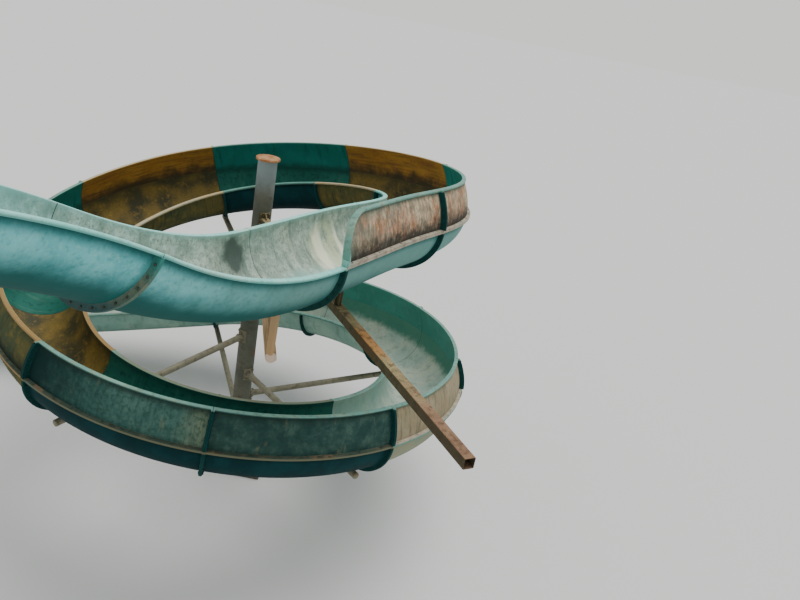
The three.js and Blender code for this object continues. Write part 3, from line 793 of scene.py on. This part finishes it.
def addSection(index):
    start, end = sectionEnds(index)
    carriesPanel = firstPanel <= index < lastBend
    rings = []
    for at, lift in sectionStations(start, end):
        ring = {"at": at, "flange": lift, "joint": min(at - start, end - at), "top": 0.0}
        ring["height"] = trough["wall"] + trough["arcDepth"]
        ring["outline"] = blendOutlines(troughOutline, lift, carriesPanel)
        rings.append(ring)
    style = sectionStyles[index]
    slot, *looks = sectionLooks[style]
    materials = dict(zip(("outside", "lip", "inside", "flange"), looks))
    # Flanges from the third section on take the painted shade
    if style == "aqua" and index > 1:
        materials["flange"] = "darkFlange"
    if carriesPanel:
        materials["rim"] = "ledge" if style == "aqua" else materials["lip"]
    number = f"{index + 1:02d}"
    sweepPiece("flumeShell" + number, rings, materials, "flume_section_" + number)


for sectionIndex in range(len(joints) - 1):
    addSection(sectionIndex)
print("flume sections made:", len(joints) - 1)

# Raised panels

panel = {
    "height": 0.418, "lean": 0.132, "curl": 1.8, "thickness": 0.012, "lipWidth": 0.035,
    "endLipWidth": 0.062, "lipDepth": 0.022, "lipThickness": 0.008, "turnDown": 0.007,
    "flange": 0.065, "endHeight": 0.060, "corner": 0.385, "wallSteps": 16,
    "innerAllowance": 0.002, "leadingEdge": 0.05, "endStations": (0.025, 0.033, 0.045, 0.1),
}


def panelFace(rise):
    share = max(rise, 0.0) / panel["height"]
    return trough["outer"] - panel["lean"] * share ** panel["curl"]


def panelOutline(flanged, height, lipWidth):
    steps = panel["wallSteps"]
    stand = panel["flange"] * flanged
    foot = panel["thickness"] + jointGap
    inset = panel["thickness"] + panel["innerAllowance"]
    lipFoot = height - panel["lipDepth"]
    under = lipFoot if flanged else height - panel["lipThickness"]
    edge = panelFace(height) + (max(panel["flange"], lipWidth) if flanged else lipWidth)
    turn = 0 if flanged else panel["turnDown"]
    corners = [
        (trough["inner"], jointGap, 0, "ledge"),
        (trough["half"], jointGap, 0.002, "ledge"),
        (trough["half"], foot, 0.003, "ledge"),
        (panelFace(foot) + stand, foot + 0.0005, 0.0001 if flanged else 0.004, "outside"),
    ]
    for step in range(1, steps):
        rise = foot + (under - foot) * step / steps
        corners.append((panelFace(rise) + stand, rise, 0, "outside"))
    corners += [
        (panelFace(under) + stand, under, 0.001, "outside"),
        (edge - turn, under, 0, "outside"),
        (edge - turn * 0.999, lipFoot, 0, "lip"),
        (edge, lipFoot, 0.002, "lip"),
        (edge, height, 0.006, "lip"),
        (panelFace(height) - inset, height, 0.005, "inside"),
    ]
    for step in range(1, steps):
        rise = height + (foot - height) * step / steps
        corners.append((panelFace(rise) - inset, rise, 0, "inside"))
    return roundOff(corners)


# Slot of each colour scheme, then the finishes of outside, lip, inside and ledge
panelLooks = {
    "faded": ("faded_panel", "faded", "tealLip", "darkInside", "ledge"),
    "ochre": ("yellow_gelcoat", "ochreOutside", "creamLip", "ochreInside", "mossyLedge"),
    "dark": ("teal_gelcoat", "tealOutside", "tealLip", "darkInside", "mossyLedge"),
    "grey": ("teal_gelcoat", "greyPanel", "shadedLip", "tealInside", "mossyLedge"),
    "brown": ("teal_gelcoat", "brownPanel", "tealLip", "greenWall", "ledge"),
}
panelStyles = ["faded"] * 2 + ["ochre", "dark"] * 2 + ["ochre", "grey", "grey"] + ["brown"] * 4


def addPanel(index):
    start, end = sectionEnds(index)
    roundStart, roundEnd = index == firstPanel, index == lastBend - 1
    corner, endHeight, endLip = panel["corner"], panel["endHeight"], panel["endLipWidth"]
    stations = sectionStations(start, end)
    for offset in panel["endStations"]:
        stations += [(start + offset, 0.0)] * roundStart + [(end - offset, 0.0)] * roundEnd
    rings = []
    for at, lift in sorted(stations):
        rounded = [at - start] * roundStart + [end - at] * roundEnd
        joined = [at - start] * (not roundStart) + [end - at] * (not roundEnd)
        away = min([corner, *rounded]) / corner
        height = endHeight + (panel["height"] - endHeight) * math.sqrt(1 - (1 - away) ** 2)
        lipWidth = endLip + (panel["lipWidth"] - endLip) * away
        ring = {"at": at, "flange": lift, "joint": min(joined), "top": height, "height": height}
        ring["leading"] = roundStart and at < start + panel["leadingEdge"]
        ring["outline"] = blendOutlines(panelOutline, lift, height, lipWidth)
        rings.append(ring)
    slot, *looks = panelLooks[panelStyles[index - firstPanel]]
    materials = dict(zip(("outside", "lip", "inside", "ledge"), looks))
    materials |= {"flange": "darkFlange", "edge": "leadingEdge"}
    number = f"{index - firstPanel + 1:02d}"
    sweepPiece("panelShell" + number, rings, materials, "raised_panel_" + number)


for sectionIndex in range(firstPanel, lastBend):
    addPanel(sectionIndex)
print("raised panels made:", lastBend - firstPanel)

# Bolts

bolt = {
    "washer": 0.0120, "washerHeight": 0.0025, "head": 0.0092, "headHeight": 0.0065,
    "stud": 0.006, "studHeight": 0.006, "sides": 12, "pitch": 0.1, "circle": 0.030,
    "panelRises": (0.07, 0.15, 0.23, 0.31), "ledgePitch": 0.24,
    # Bolts from this joint on are darkened like their flanges as painted shade
    "paintedFrom": 2,  # joints from here on have their bolts painted over
}


def boltRings(kind):
    low = bolt["washerHeight"]
    top = low + bolt["headHeight"]
    rings = [(bolt["washer"], 0.0), (bolt["washer"], low), (bolt["head"], low)]
    rings += [(bolt["head"], top - 0.0015), (bolt["head"] * 0.86, top)]
    if kind == "nut":
        rings += [(bolt["stud"], top), (bolt["stud"], top + bolt["studHeight"])]
    return rings


def addBolts(name, places, material):
    shells = newShells()
    sides = bolt["sides"]
    for place, axis, kind in places:
        turn = axis.to_track_quat("Z", "X").to_matrix()
        spin = random.uniform(0, math.pi / 3)
        rings = boltRings(kind)
        points = []
        for row, (radius, height) in enumerate(rings):
            for side in range(sides):
                onFlat = row in (2, 3, 4) and side % 2
                out = radius * math.cos(math.pi / 6) if onFlat else radius
                angle = 2 * math.pi * side / sides + (spin if row > 1 else 0)
                points.append(place + turn @ around(out, angle, height))
        addShell(shells, points, ringFaces(len(rings), sides))
    makePiece(name, shells, [material], sharpAngle=25)


def addJointBolts(index):
    thick = trough["flangeThickness"] + jointGap / 2
    count = round(math.pi * (trough["outer"] + bolt["circle"]) / bolt["pitch"])
    angles = [-math.pi * (number + 0.5) / count for number in range(count)]
    spots = [(side, *arcPoint(angle, bolt["circle"])) for side in (-1, 1) for angle in angles]
    if firstPanel < index < lastBend:
        for rise in bolt["panelRises"]:
            across = panelFace(rise) + panel["flange"] / 2
            spots += [(-1, across, rise), (1, across, rise)]
    places = []
    for side, across, rise in spots:
        at = joints[index] + side * thick
        kind = "nut" if side > 0 else "head"
        places.append((pointAt(at, across, rise), frameAt(at)[1] * side, kind))
    material = "boltSteel" if index < bolt["paintedFrom"] else "paintedShadedBolt"
    addBolts(f"jointBolts{index:02d}", places, material)


for jointIndex in range(1, len(joints) - 1):
    addJointBolts(jointIndex)


def addLedgeBolts(index):
    start, end = joints[index], joints[index + 1]
    count = round((end - start) / bolt["ledgePitch"])
    across = (trough["outer"] + trough["half"]) / 2
    rise = panel["thickness"] + jointGap
    places = []
    for step in range(count):
        at = start + (end - start) * (step + 0.5) / count
        places.append((pointAt(at, across, rise), frameAt(at)[3], "head"))
    number = index - firstPanel
    addBolts(f"ledgeBolts{number + 1:02d}", places, panelLooks[panelStyles[number]][-1])


for sectionIndex in range(firstPanel, lastBend):
    addLedgeBolts(sectionIndex)
print("bolts made")

# Supports

support = {
    "column": 0.120, "columnTop": 4.425, "columnFlange": 0.230, "flangeThickness": 0.028,
    "plateThickness": 0.040, "cap": 0.150, "capThickness": 0.030, "armStart": 0.130,
    "pipe": 0.042, "pipeOverrun": 0.160, "seatDrop": 0.080, "poleSeatDrop": 0.164,
    "poleRise": 0.350, "armJoints": (4, 6, 7, 9, 11, 13, 15), "poleJoint": 9, "seatHalf": 0.080,
    "seatLong": 0.035, "padThickness": 0.010, "padSteps": 8, "web": 0.012, "rib": 0.008,
    "wornEdge": 0.0015, "edge": 0.002, "bore": 0.02,
}
cadFacets = 9
lowestFacet = math.cos(math.pi / cadFacets / 2)
cadFlangeBottom = -trough["wall"] - (trough["arcDepth"] + trough["flange"]) * lowestFacet
cadShellBottom = -trough["wall"] - trough["arcDepth"] * lowestFacet


# A turned body: pairs of radius and height above a place, about an axis
def addTurned(shells, profile, place, sides, axis=skyward):
    turn = axis.to_track_quat("Z", "X").to_matrix()
    angles = [2 * math.pi * side / sides for side in range(sides)]
    rings = [around(radius, angle, height) for radius, height in profile for angle in angles]
    addShell(shells, [place + turn @ point for point in rings], ringFaces(len(profile), sides))


# Rows of a straight shaft between two heights
def shaftRows(radius, low, high, steps):
    return [(radius, low + (high - low) * step / steps) for step in range(1, steps)]


# A flat plate: its outline in two directions from a place, thickened evenly to both sides
def addPlate(shells, outline, place, first, second, thickness):
    normal = first.cross(second).normalized()
    points = []
    for side in (-0.5, 0.5):
        for x, y in outline:
            points.append(place + first * x + second * y + normal * thickness * side)
    addShell(shells, points, ringFaces(2, len(outline)))


# A pad that follows the underside of the trough between two places across it
def addPad(shells, at, halfWidth, halfLong, grown):
    steps = support["padSteps"]
    near, far = grown + jointGap, grown + jointGap + support["padThickness"]
    corners = ((-halfLong, near), (halfLong, near), (halfLong, far), (-halfLong, far))
    points = []
    for step in range(steps + 1):
        across = -halfWidth + 2 * halfWidth * step / steps
        angle = -math.acos(across / (trough["outer"] + grown))
        points += [pointAt(at + offset, *arcPoint(angle, clear)) for offset, clear in corners]
    addShell(shells, points, ringFaces(steps + 1, len(corners)))


# Level direction from the column towards a place
def towards(place):
    return Vector((place.x, place.y, 0)).normalized()


# Bracket that holds an arm on the column: a curved saddle plate with gussets and four bolts
clamp = {
    "reach": 0.205, "halfWidth": 0.075, "halfHeight": 0.085, "saddle": 0.014, "saddleSteps": 10,
    "overlap": 0.003, "gusset": 0.010, "boltAside": 0.055, "boltRise": 0.062,
    "bolt": ((0.017, 0.0), (0.017, 0.004), (0.0125, 0.004), (0.0125, 0.013), (0.011, 0.015)),
}


def addBracket(shells, direction, height, slope=0.0):
    side = skyward.cross(direction)
    inner = support["column"] + jointGap
    outer = inner + clamp["saddle"]
    half = math.asin(clamp["halfWidth"] / outer)
    steps = clamp["saddleSteps"]
    angles = [-half + 2 * half * step / steps for step in range(steps + 1)]
    outline = [around(inner, angle).xy for angle in angles]
    outline += [around(outer, -angle).xy for angle in angles]
    tall, wide = clamp["halfHeight"], clamp["halfWidth"]
    addPlate(shells, outline, skyward * height, direction, side, 2 * tall)
    start = outer - clamp["overlap"]
    reach = clamp["reach"] - start
    low = support["pipe"] * 0.7
    root = skyward * height + direction * start
    for upward, high, lean in ((skyward, tall - 0.006, slope), (side, wide - 0.010, 0)):
        web = [(0, -high), (reach * 0.25, -high), (reach, -low)]
        web += [(x, -y) for x, y in reversed(web)]
        web = [(x, y + lean * (x + start)) for x, y in web]
        addPlate(shells, web, root, direction, upward, clamp["gusset"])
    for sideways in (-clamp["boltAside"], clamp["boltAside"]):
        away = math.asin(sideways / outer)
        outward = direction * math.cos(away) + side * math.sin(away)
        for rise in (-clamp["boltRise"], clamp["boltRise"]):
            place = outward * (outer - 0.001) + skyward * (height + rise)
            addTurned(shells, clamp["bolt"], place, 6, outward)


# The seat under the trough: a curved pad on a web plate with two ribs across it
def addSeat(shells, at, grown, drop, halfWidth, halfLong, foot):
    addPad(shells, at, halfWidth, halfLong, grown)
    point, along, outward, up = frameAt(at)
    top = arcPoint(-math.pi / 2, grown + jointGap)[1] - support["padThickness"] * 0.6
    place = point + up * (top - drop)
    high, wide, long = drop - 0.004, halfWidth * 0.9, halfLong * 0.9
    web = [(-foot, 0), (foot, 0), (wide, high), (0, drop), (-wide, high)]
    addPlate(shells, web, place, outward, up, support["web"])
    rib = [(-long, 0), (long, 0), (long, drop), (-long, drop)]
    for across in (-halfWidth * 0.5, halfWidth * 0.5):
        addPlate(shells, rib, place + outward * across, along, up, support["rib"])


def addPipeArm(number, joint):
    slopes = joint == support["poleJoint"]
    drop = support["poleSeatDrop"] if slopes else support["seatDrop"]
    at, pipe, half = joints[joint], support["pipe"], support["seatHalf"]
    seat = pointAt(at, 0, cadFlangeBottom - drop)
    foot = skyward * (seat.z + (support["poleRise"] if slopes else 0))
    reach = seat - foot
    axis = reach.normalized()
    begin = foot + axis * support["armStart"]
    length = (seat + axis * support["pipeOverrun"] - begin).length
    shells = newShells()
    profile = [(pipe * 0.6, 0.0), (pipe, 0.0), (pipe, length - 0.006)]
    profile += [(pipe - 0.003, length - 0.0054), (pipe - 0.003, length - 0.001)]
    profile.append((pipe - 0.005, length))
    addTurned(shells, profile, begin, 28, axis)
    addBracket(shells, towards(reach), foot.z, reach.z / math.hypot(reach.x, reach.y))
    seatLong = support["seatLong"]
    addSeat(shells, at, trough["flange"], drop + pipe * 0.2, half, seatLong, half * 0.8)
    name, replaced = f"armShell{number}", f"pipe_arm_{number}"
    makePiece(name, shells, ["armPaint"], replaced, support["wornEdge"])


for armIndex, armJoint in enumerate(support["armJoints"]):
    addPipeArm(armIndex + 1, armJoint)
print("pipe arms made:", len(support["armJoints"]))

# Rusted box beam: a hollow section with an open outer end
beam = {
    "width": 0.100, "height": 0.100, "corner": 0.009, "wall": 0.006,
    "hollow": 0.35,  # depth of the open end
    "top": 3.705, "end": 5.250, "seatAt": -2.150, "seatHalf": 0.045, "seatLong": 0.035,
    "clampRise": 0.030,
}


def roundedBox(halfWidth, halfHeight, radius, steps=5):
    outline = []
    for turn, x, y in ((0, 1, 1), (1, -1, 1), (2, -1, -1), (3, 1, -1)):
        centre = Vector((x * (halfWidth - radius), y * (halfHeight - radius)))
        for step in range(steps + 1):
            angle = math.pi / 2 * (turn + step / steps)
            outline.append(centre + around(radius, angle).xy)
    return outline


def addHollowBar(shells, start, end, side, bar):
    wide, tall, corner, wall = bar["width"] / 2, bar["height"] / 2, bar["corner"], bar["wall"]
    outer = roundedBox(wide, tall, corner)
    inner = roundedBox(wide - wall, tall - wall, max(corner - wall, 0.002))
    steps = 12
    rows = [(outer, start + (end - start) * step / steps) for step in range(steps)]
    rows += [(outer, end), (inner, end), (inner, end - (end - start).normalized() * bar["hollow"])]
    points = [place + side * x + skyward * y for outline, place in rows for x, y in outline]
    addShell(shells, points, ringFaces(len(rows), len(outer)))


def addBeam():
    at, half = beam["seatAt"], beam["seatHalf"]
    seat = pointAt(at, 0, cadShellBottom)
    direction = towards(seat)
    level = beam["top"] - beam["height"] / 2
    start, end = (direction * out + skyward * level for out in (support["armStart"], beam["end"]))
    shells = newShells()
    addHollowBar(shells, start, end, skyward.cross(direction), beam)
    addBracket(shells, direction, level + beam["clampRise"])
    addSeat(shells, at, 0.0, seat.z - beam["top"] + 0.004, half, beam["seatLong"], half * 0.9)
    edge = support["wornEdge"]
    makePiece("beamShell", shells, ["rust"], "outrigger_beam", edge)


addBeam()

# Round timber arm with a squared post on it
log = {
    "radius": 0.060, "height": 3.535, "end": 3.400, "seatAt": -3.290, "postHalfWidth": 0.029,
    "postHalfLong": 0.024, "clampDrop": 0.045, "unevenness": 0.003, "taper": 0.05,
    "grainAlong": 2.2, "grainRound": 2.5,
    "barkRows": 40, "sides": 32, "sawnRings": (0.02, 0.25, 0.5, 0.75, 0.985),
}


def addLog():
    seat = pointAt(log["seatAt"], 0, cadShellBottom)
    direction = towards(seat)
    side = skyward.cross(direction)
    start, end, sides = support["armStart"], log["end"], log["sides"]
    sawnRings, barkRows = log["sawnRings"], log["barkRows"]
    rows = [(start, share, True) for share in sawnRings]
    for row in range(barkRows + 1):
        rows.append((start + 0.0015 + (end - start - 0.003) * row / barkRows, 1.0, False))
    rows += [(end, share, True) for share in reversed(sawnRings)]
    points = []
    lay = []
    for reach, share, isSawn in rows:
        taper = 1 - log["taper"] * (reach - start) / (end - start)
        for place in range(sides):
            angle = 2 * math.pi * place / sides - math.pi / 2
            bump = noise.noise(around(log["grainRound"], angle, reach * log["grainAlong"]).zxy)
            radius = log["radius"] * taper - log["unevenness"] * (1 + bump)
            across, rise = around(radius * share, angle).xy
            points.append(direction * reach + side * across + skyward * (log["height"] + rise))
            ring = (0.0, share * log["radius"], 0.0)
            lay.append(ring if isSawn else (reach, angle * log["radius"], 0.0))
    materials = []
    for row, following in zip(rows, rows[1:]):
        materials += [1 if row[2] or following[2] else 0] * sides
    shells = newShells()
    addShell(shells, points, ringFaces(len(rows), sides), materials + [1, 1], lay)
    point, along, outward, up = frameAt(log["seatAt"])
    drop = seat.z - log["height"] - log["radius"] * 0.6
    top = seat - up * (jointGap + 0.006)
    wide, long = log["postHalfWidth"], log["postHalfLong"]
    post = [(-wide, -long), (wide, -long), (wide, long), (-wide, long)]
    addPlate(shells, post, top - up * drop / 2, outward, along, drop)
    finish = ["bareTimber", "sawnEnd", "dullPaint"]
    shells["paint"] = finish.index("dullPaint")
    addBracket(shells, direction, log["height"] - log["clampDrop"])
    makePiece("logShell", shells, finish, "log_arm", support["wornEdge"])


addLog()
print("beam and log made")

# Column with its foot flange, anchor bolts and cap

anchor = {"circle": 0.196, "count": 12, "stud": 0.011, "nut": 0.021, "washer": 0.025}


def addAnchors(shells, centre, circle, count, scale=1.0):
    stud, nut, washer = (anchor[size] * scale for size in ("stud", "nut", "washer"))
    parts = {
        20: [(washer, 0.0), (washer, 0.003)],
        6: [(nut, 0.003), (nut, 0.018), (nut * 0.85, 0.020)],
        12: [(stud, 0.018), (stud, 0.032), (stud * 0.8, 0.034)],
    }
    for index in range(count):
        place = centre + around(circle, 2 * math.pi * (index + 0.5) / count)
        for sides, profile in parts.items():
            addTurned(shells, profile, place, sides)


def addColumn():
    foot = support["plateThickness"] + jointGap
    low, top = foot + support["flangeThickness"], support["columnTop"]
    radius, flange = support["column"], support["columnFlange"]
    edge, bore = support["edge"], support["bore"]
    profile = [(bore, foot), (flange - edge, foot), (flange, foot + edge), (flange, low - edge)]
    profile += [(flange - edge, low), (radius + 0.012, low), (radius + 0.004, low + 0.005)]
    profile += [(radius, low + 0.013), *shaftRows(radius, low, top, 24)]
    profile += [(radius, top - edge), (radius - edge, top), (bore, top)]
    shells = newShells()
    addTurned(shells, profile, Vector(), 64)
    addAnchors(shells, skyward * low, anchor["circle"], anchor["count"])
    makePiece("columnShell", shells, ["dullPaint"], "column")


def addCap():
    low, cap, bore = support["columnTop"] + jointGap, support["cap"], support["bore"]
    top = low + support["capThickness"]
    profile = [(bore, low), (cap - 0.003, low), (cap, low + 0.003), (cap, top - 0.010)]
    profile += [(cap - 0.003, top - 0.005), (cap - 0.012, top - 0.003)]
    profile += [(0.05, top - 0.001), (bore, top)]
    shells = newShells()
    addTurned(shells, profile, Vector(), 64)
    makePiece("capShell", shells, ["orangeRust"], "column_cap")


addColumn()
addCap()

# Trestle under the upper end

trestle = {
    "width": 0.130, "height": 0.130, "corner": 0.012, "wall": 0.006, "hollow": 0.004,
    "half": 0.480, "postSpacing": 0.380, "seatDrop": 0.110, "seatLong": 0.030, "post": 0.070,
    "foot": 0.1898, "footThickness": 0.022, "anchorCircle": 0.140, "anchors": 4,
    "anchorScale": 0.75,
}


def addCrosshead(at, seat, outward):
    drop = trestle["seatDrop"] - trestle["height"] / 2 + 0.014
    start, end = (seat + outward * side * trestle["half"] for side in (-1, 1))
    shells = newShells()
    addHollowBar(shells, start, end, skyward.cross(outward), trestle)
    half = support["seatHalf"]
    addSeat(shells, at, trough["flange"], drop, half, trestle["seatLong"], half * 0.95)
    edge = support["wornEdge"]
    makePiece("crossheadShell", shells, ["armPaint"], "inlet_crosshead", edge)


def addPost(label, place, top):
    radius, foot, thick = trestle["post"], trestle["foot"], trestle["footThickness"]
    edge, bore = support["edge"], support["bore"]
    profile = [(bore, 0.0), (foot, 0.0), (foot, thick - edge), (foot - edge, thick)]
    profile += [(radius + 0.009, thick), (radius + 0.003, thick + 0.004), (radius, thick + 0.011)]
    profile += [*shaftRows(radius, thick, top, 20), (radius, top - 0.012)]
    profile += [(radius + 0.014, top - 0.011), (radius + 0.014, top), (bore, top)]
    shells = newShells()
    addTurned(shells, profile, place, 40)
    circle, count, scale = (trestle[key] for key in ("anchorCircle", "anchors", "anchorScale"))
    addAnchors(shells, place + skyward * thick, circle, count, scale)
    name, replaced = f"{label}PostShell", f"inlet_post_{label}"
    makePiece(name, shells, ["armPaint"], replaced)


def addTrestle():
    at = joints[0] + trough["flangeThickness"] / 2
    seat = pointAt(at, 0, cadFlangeBottom - trestle["seatDrop"])
    outward = frameAt(at)[2]
    addCrosshead(at, seat, outward)
    for label, side in (("inner", -1), ("outer", 1)):
        place = seat + outward * side * trestle["postSpacing"]
        addPost(label, Vector((place.x, place.y, 0)), seat.z - trestle["height"] / 2 - jointGap)


addTrestle()

# CAD pieces whose shape is right get worn edges and their finish
keptNodes = {
    "column_base_plate": ("dullPaint", 0.003),
    "run_out_plinth_upper": ("roughConcrete", 0.012),
    "run_out_plinth_lower": ("roughConcrete", 0.012),
}
for nodeName, (nodeFinish, nodeEdge) in keptNodes.items():
    for nodeSlot in cadNodes[nodeName].material_slots:
        nodeSlot.link = "OBJECT"
        nodeSlot.material = finishes[nodeFinish]
    softenEdges(cadNodes[nodeName], nodeEdge)
print("column, trestle and kept nodes dressed")

# Floor and soft studio light

studio = {
    "floorHalf": 80, "floorDrop": 0.002, "floorColour": "#dcdbd7", "worldColour": "#dfe4e6",
    "worldStrength": 0.95,
    "backdropColour": "#dbdcd9",  # seen by the camera, gives no light
    "backdropStrength": 1.34, "sunStrength": 2.2, "sunAngle": 50, "sunTilt": (-18, 14),
}


def addFloor():
    half = studio["floorHalf"]
    mesh = bpy.data.meshes.new("floor")
    corners = [(-half, -half, 0), (half, -half, 0), (half, half, 0), (-half, half, 0)]
    mesh.from_pydata(corners, [], [(0, 1, 2, 3)])
    floor = addObject("floor", mesh)
    floor.location.z = -studio["floorDrop"]
    material = bpy.data.materials.new("floorPaint")
    material.use_nodes = True
    shader = material.node_tree.nodes["Principled BSDF"].inputs
    shader["Base Color"].default_value = srgb(studio["floorColour"])
    shader["Roughness"].default_value = 0.9
    mesh.materials.append(material)


def addLight():
    world = bpy.data.worlds.new("studio")
    world.use_nodes = True
    tree = world.node_tree
    tree.nodes.clear()
    backgrounds = {0: addNode(tree, "LightPath").outputs["Is Camera Ray"]}
    for place, name in ((1, "world"), (2, "backdrop")):
        inputs = {"Color": srgb(studio[name + "Colour"]), "Strength": studio[name + "Strength"]}
        backgrounds[place] = addNode(tree, "Background", inputs).outputs[0]
    both = addNode(tree, "MixShader", backgrounds)
    addNode(tree, "OutputWorld", {"Surface": both.outputs[0]})
    bpy.context.scene.world = world
    lamp = bpy.data.lights.new("sky", "SUN")
    lamp.energy = studio["sunStrength"]
    lamp.angle = math.radians(studio["sunAngle"])
    tiltX, tiltY = studio["sunTilt"]
    addObject("sky", lamp).rotation_euler = (math.radians(tiltX), math.radians(tiltY), 0)


addFloor()
addLight()
print("studio made")
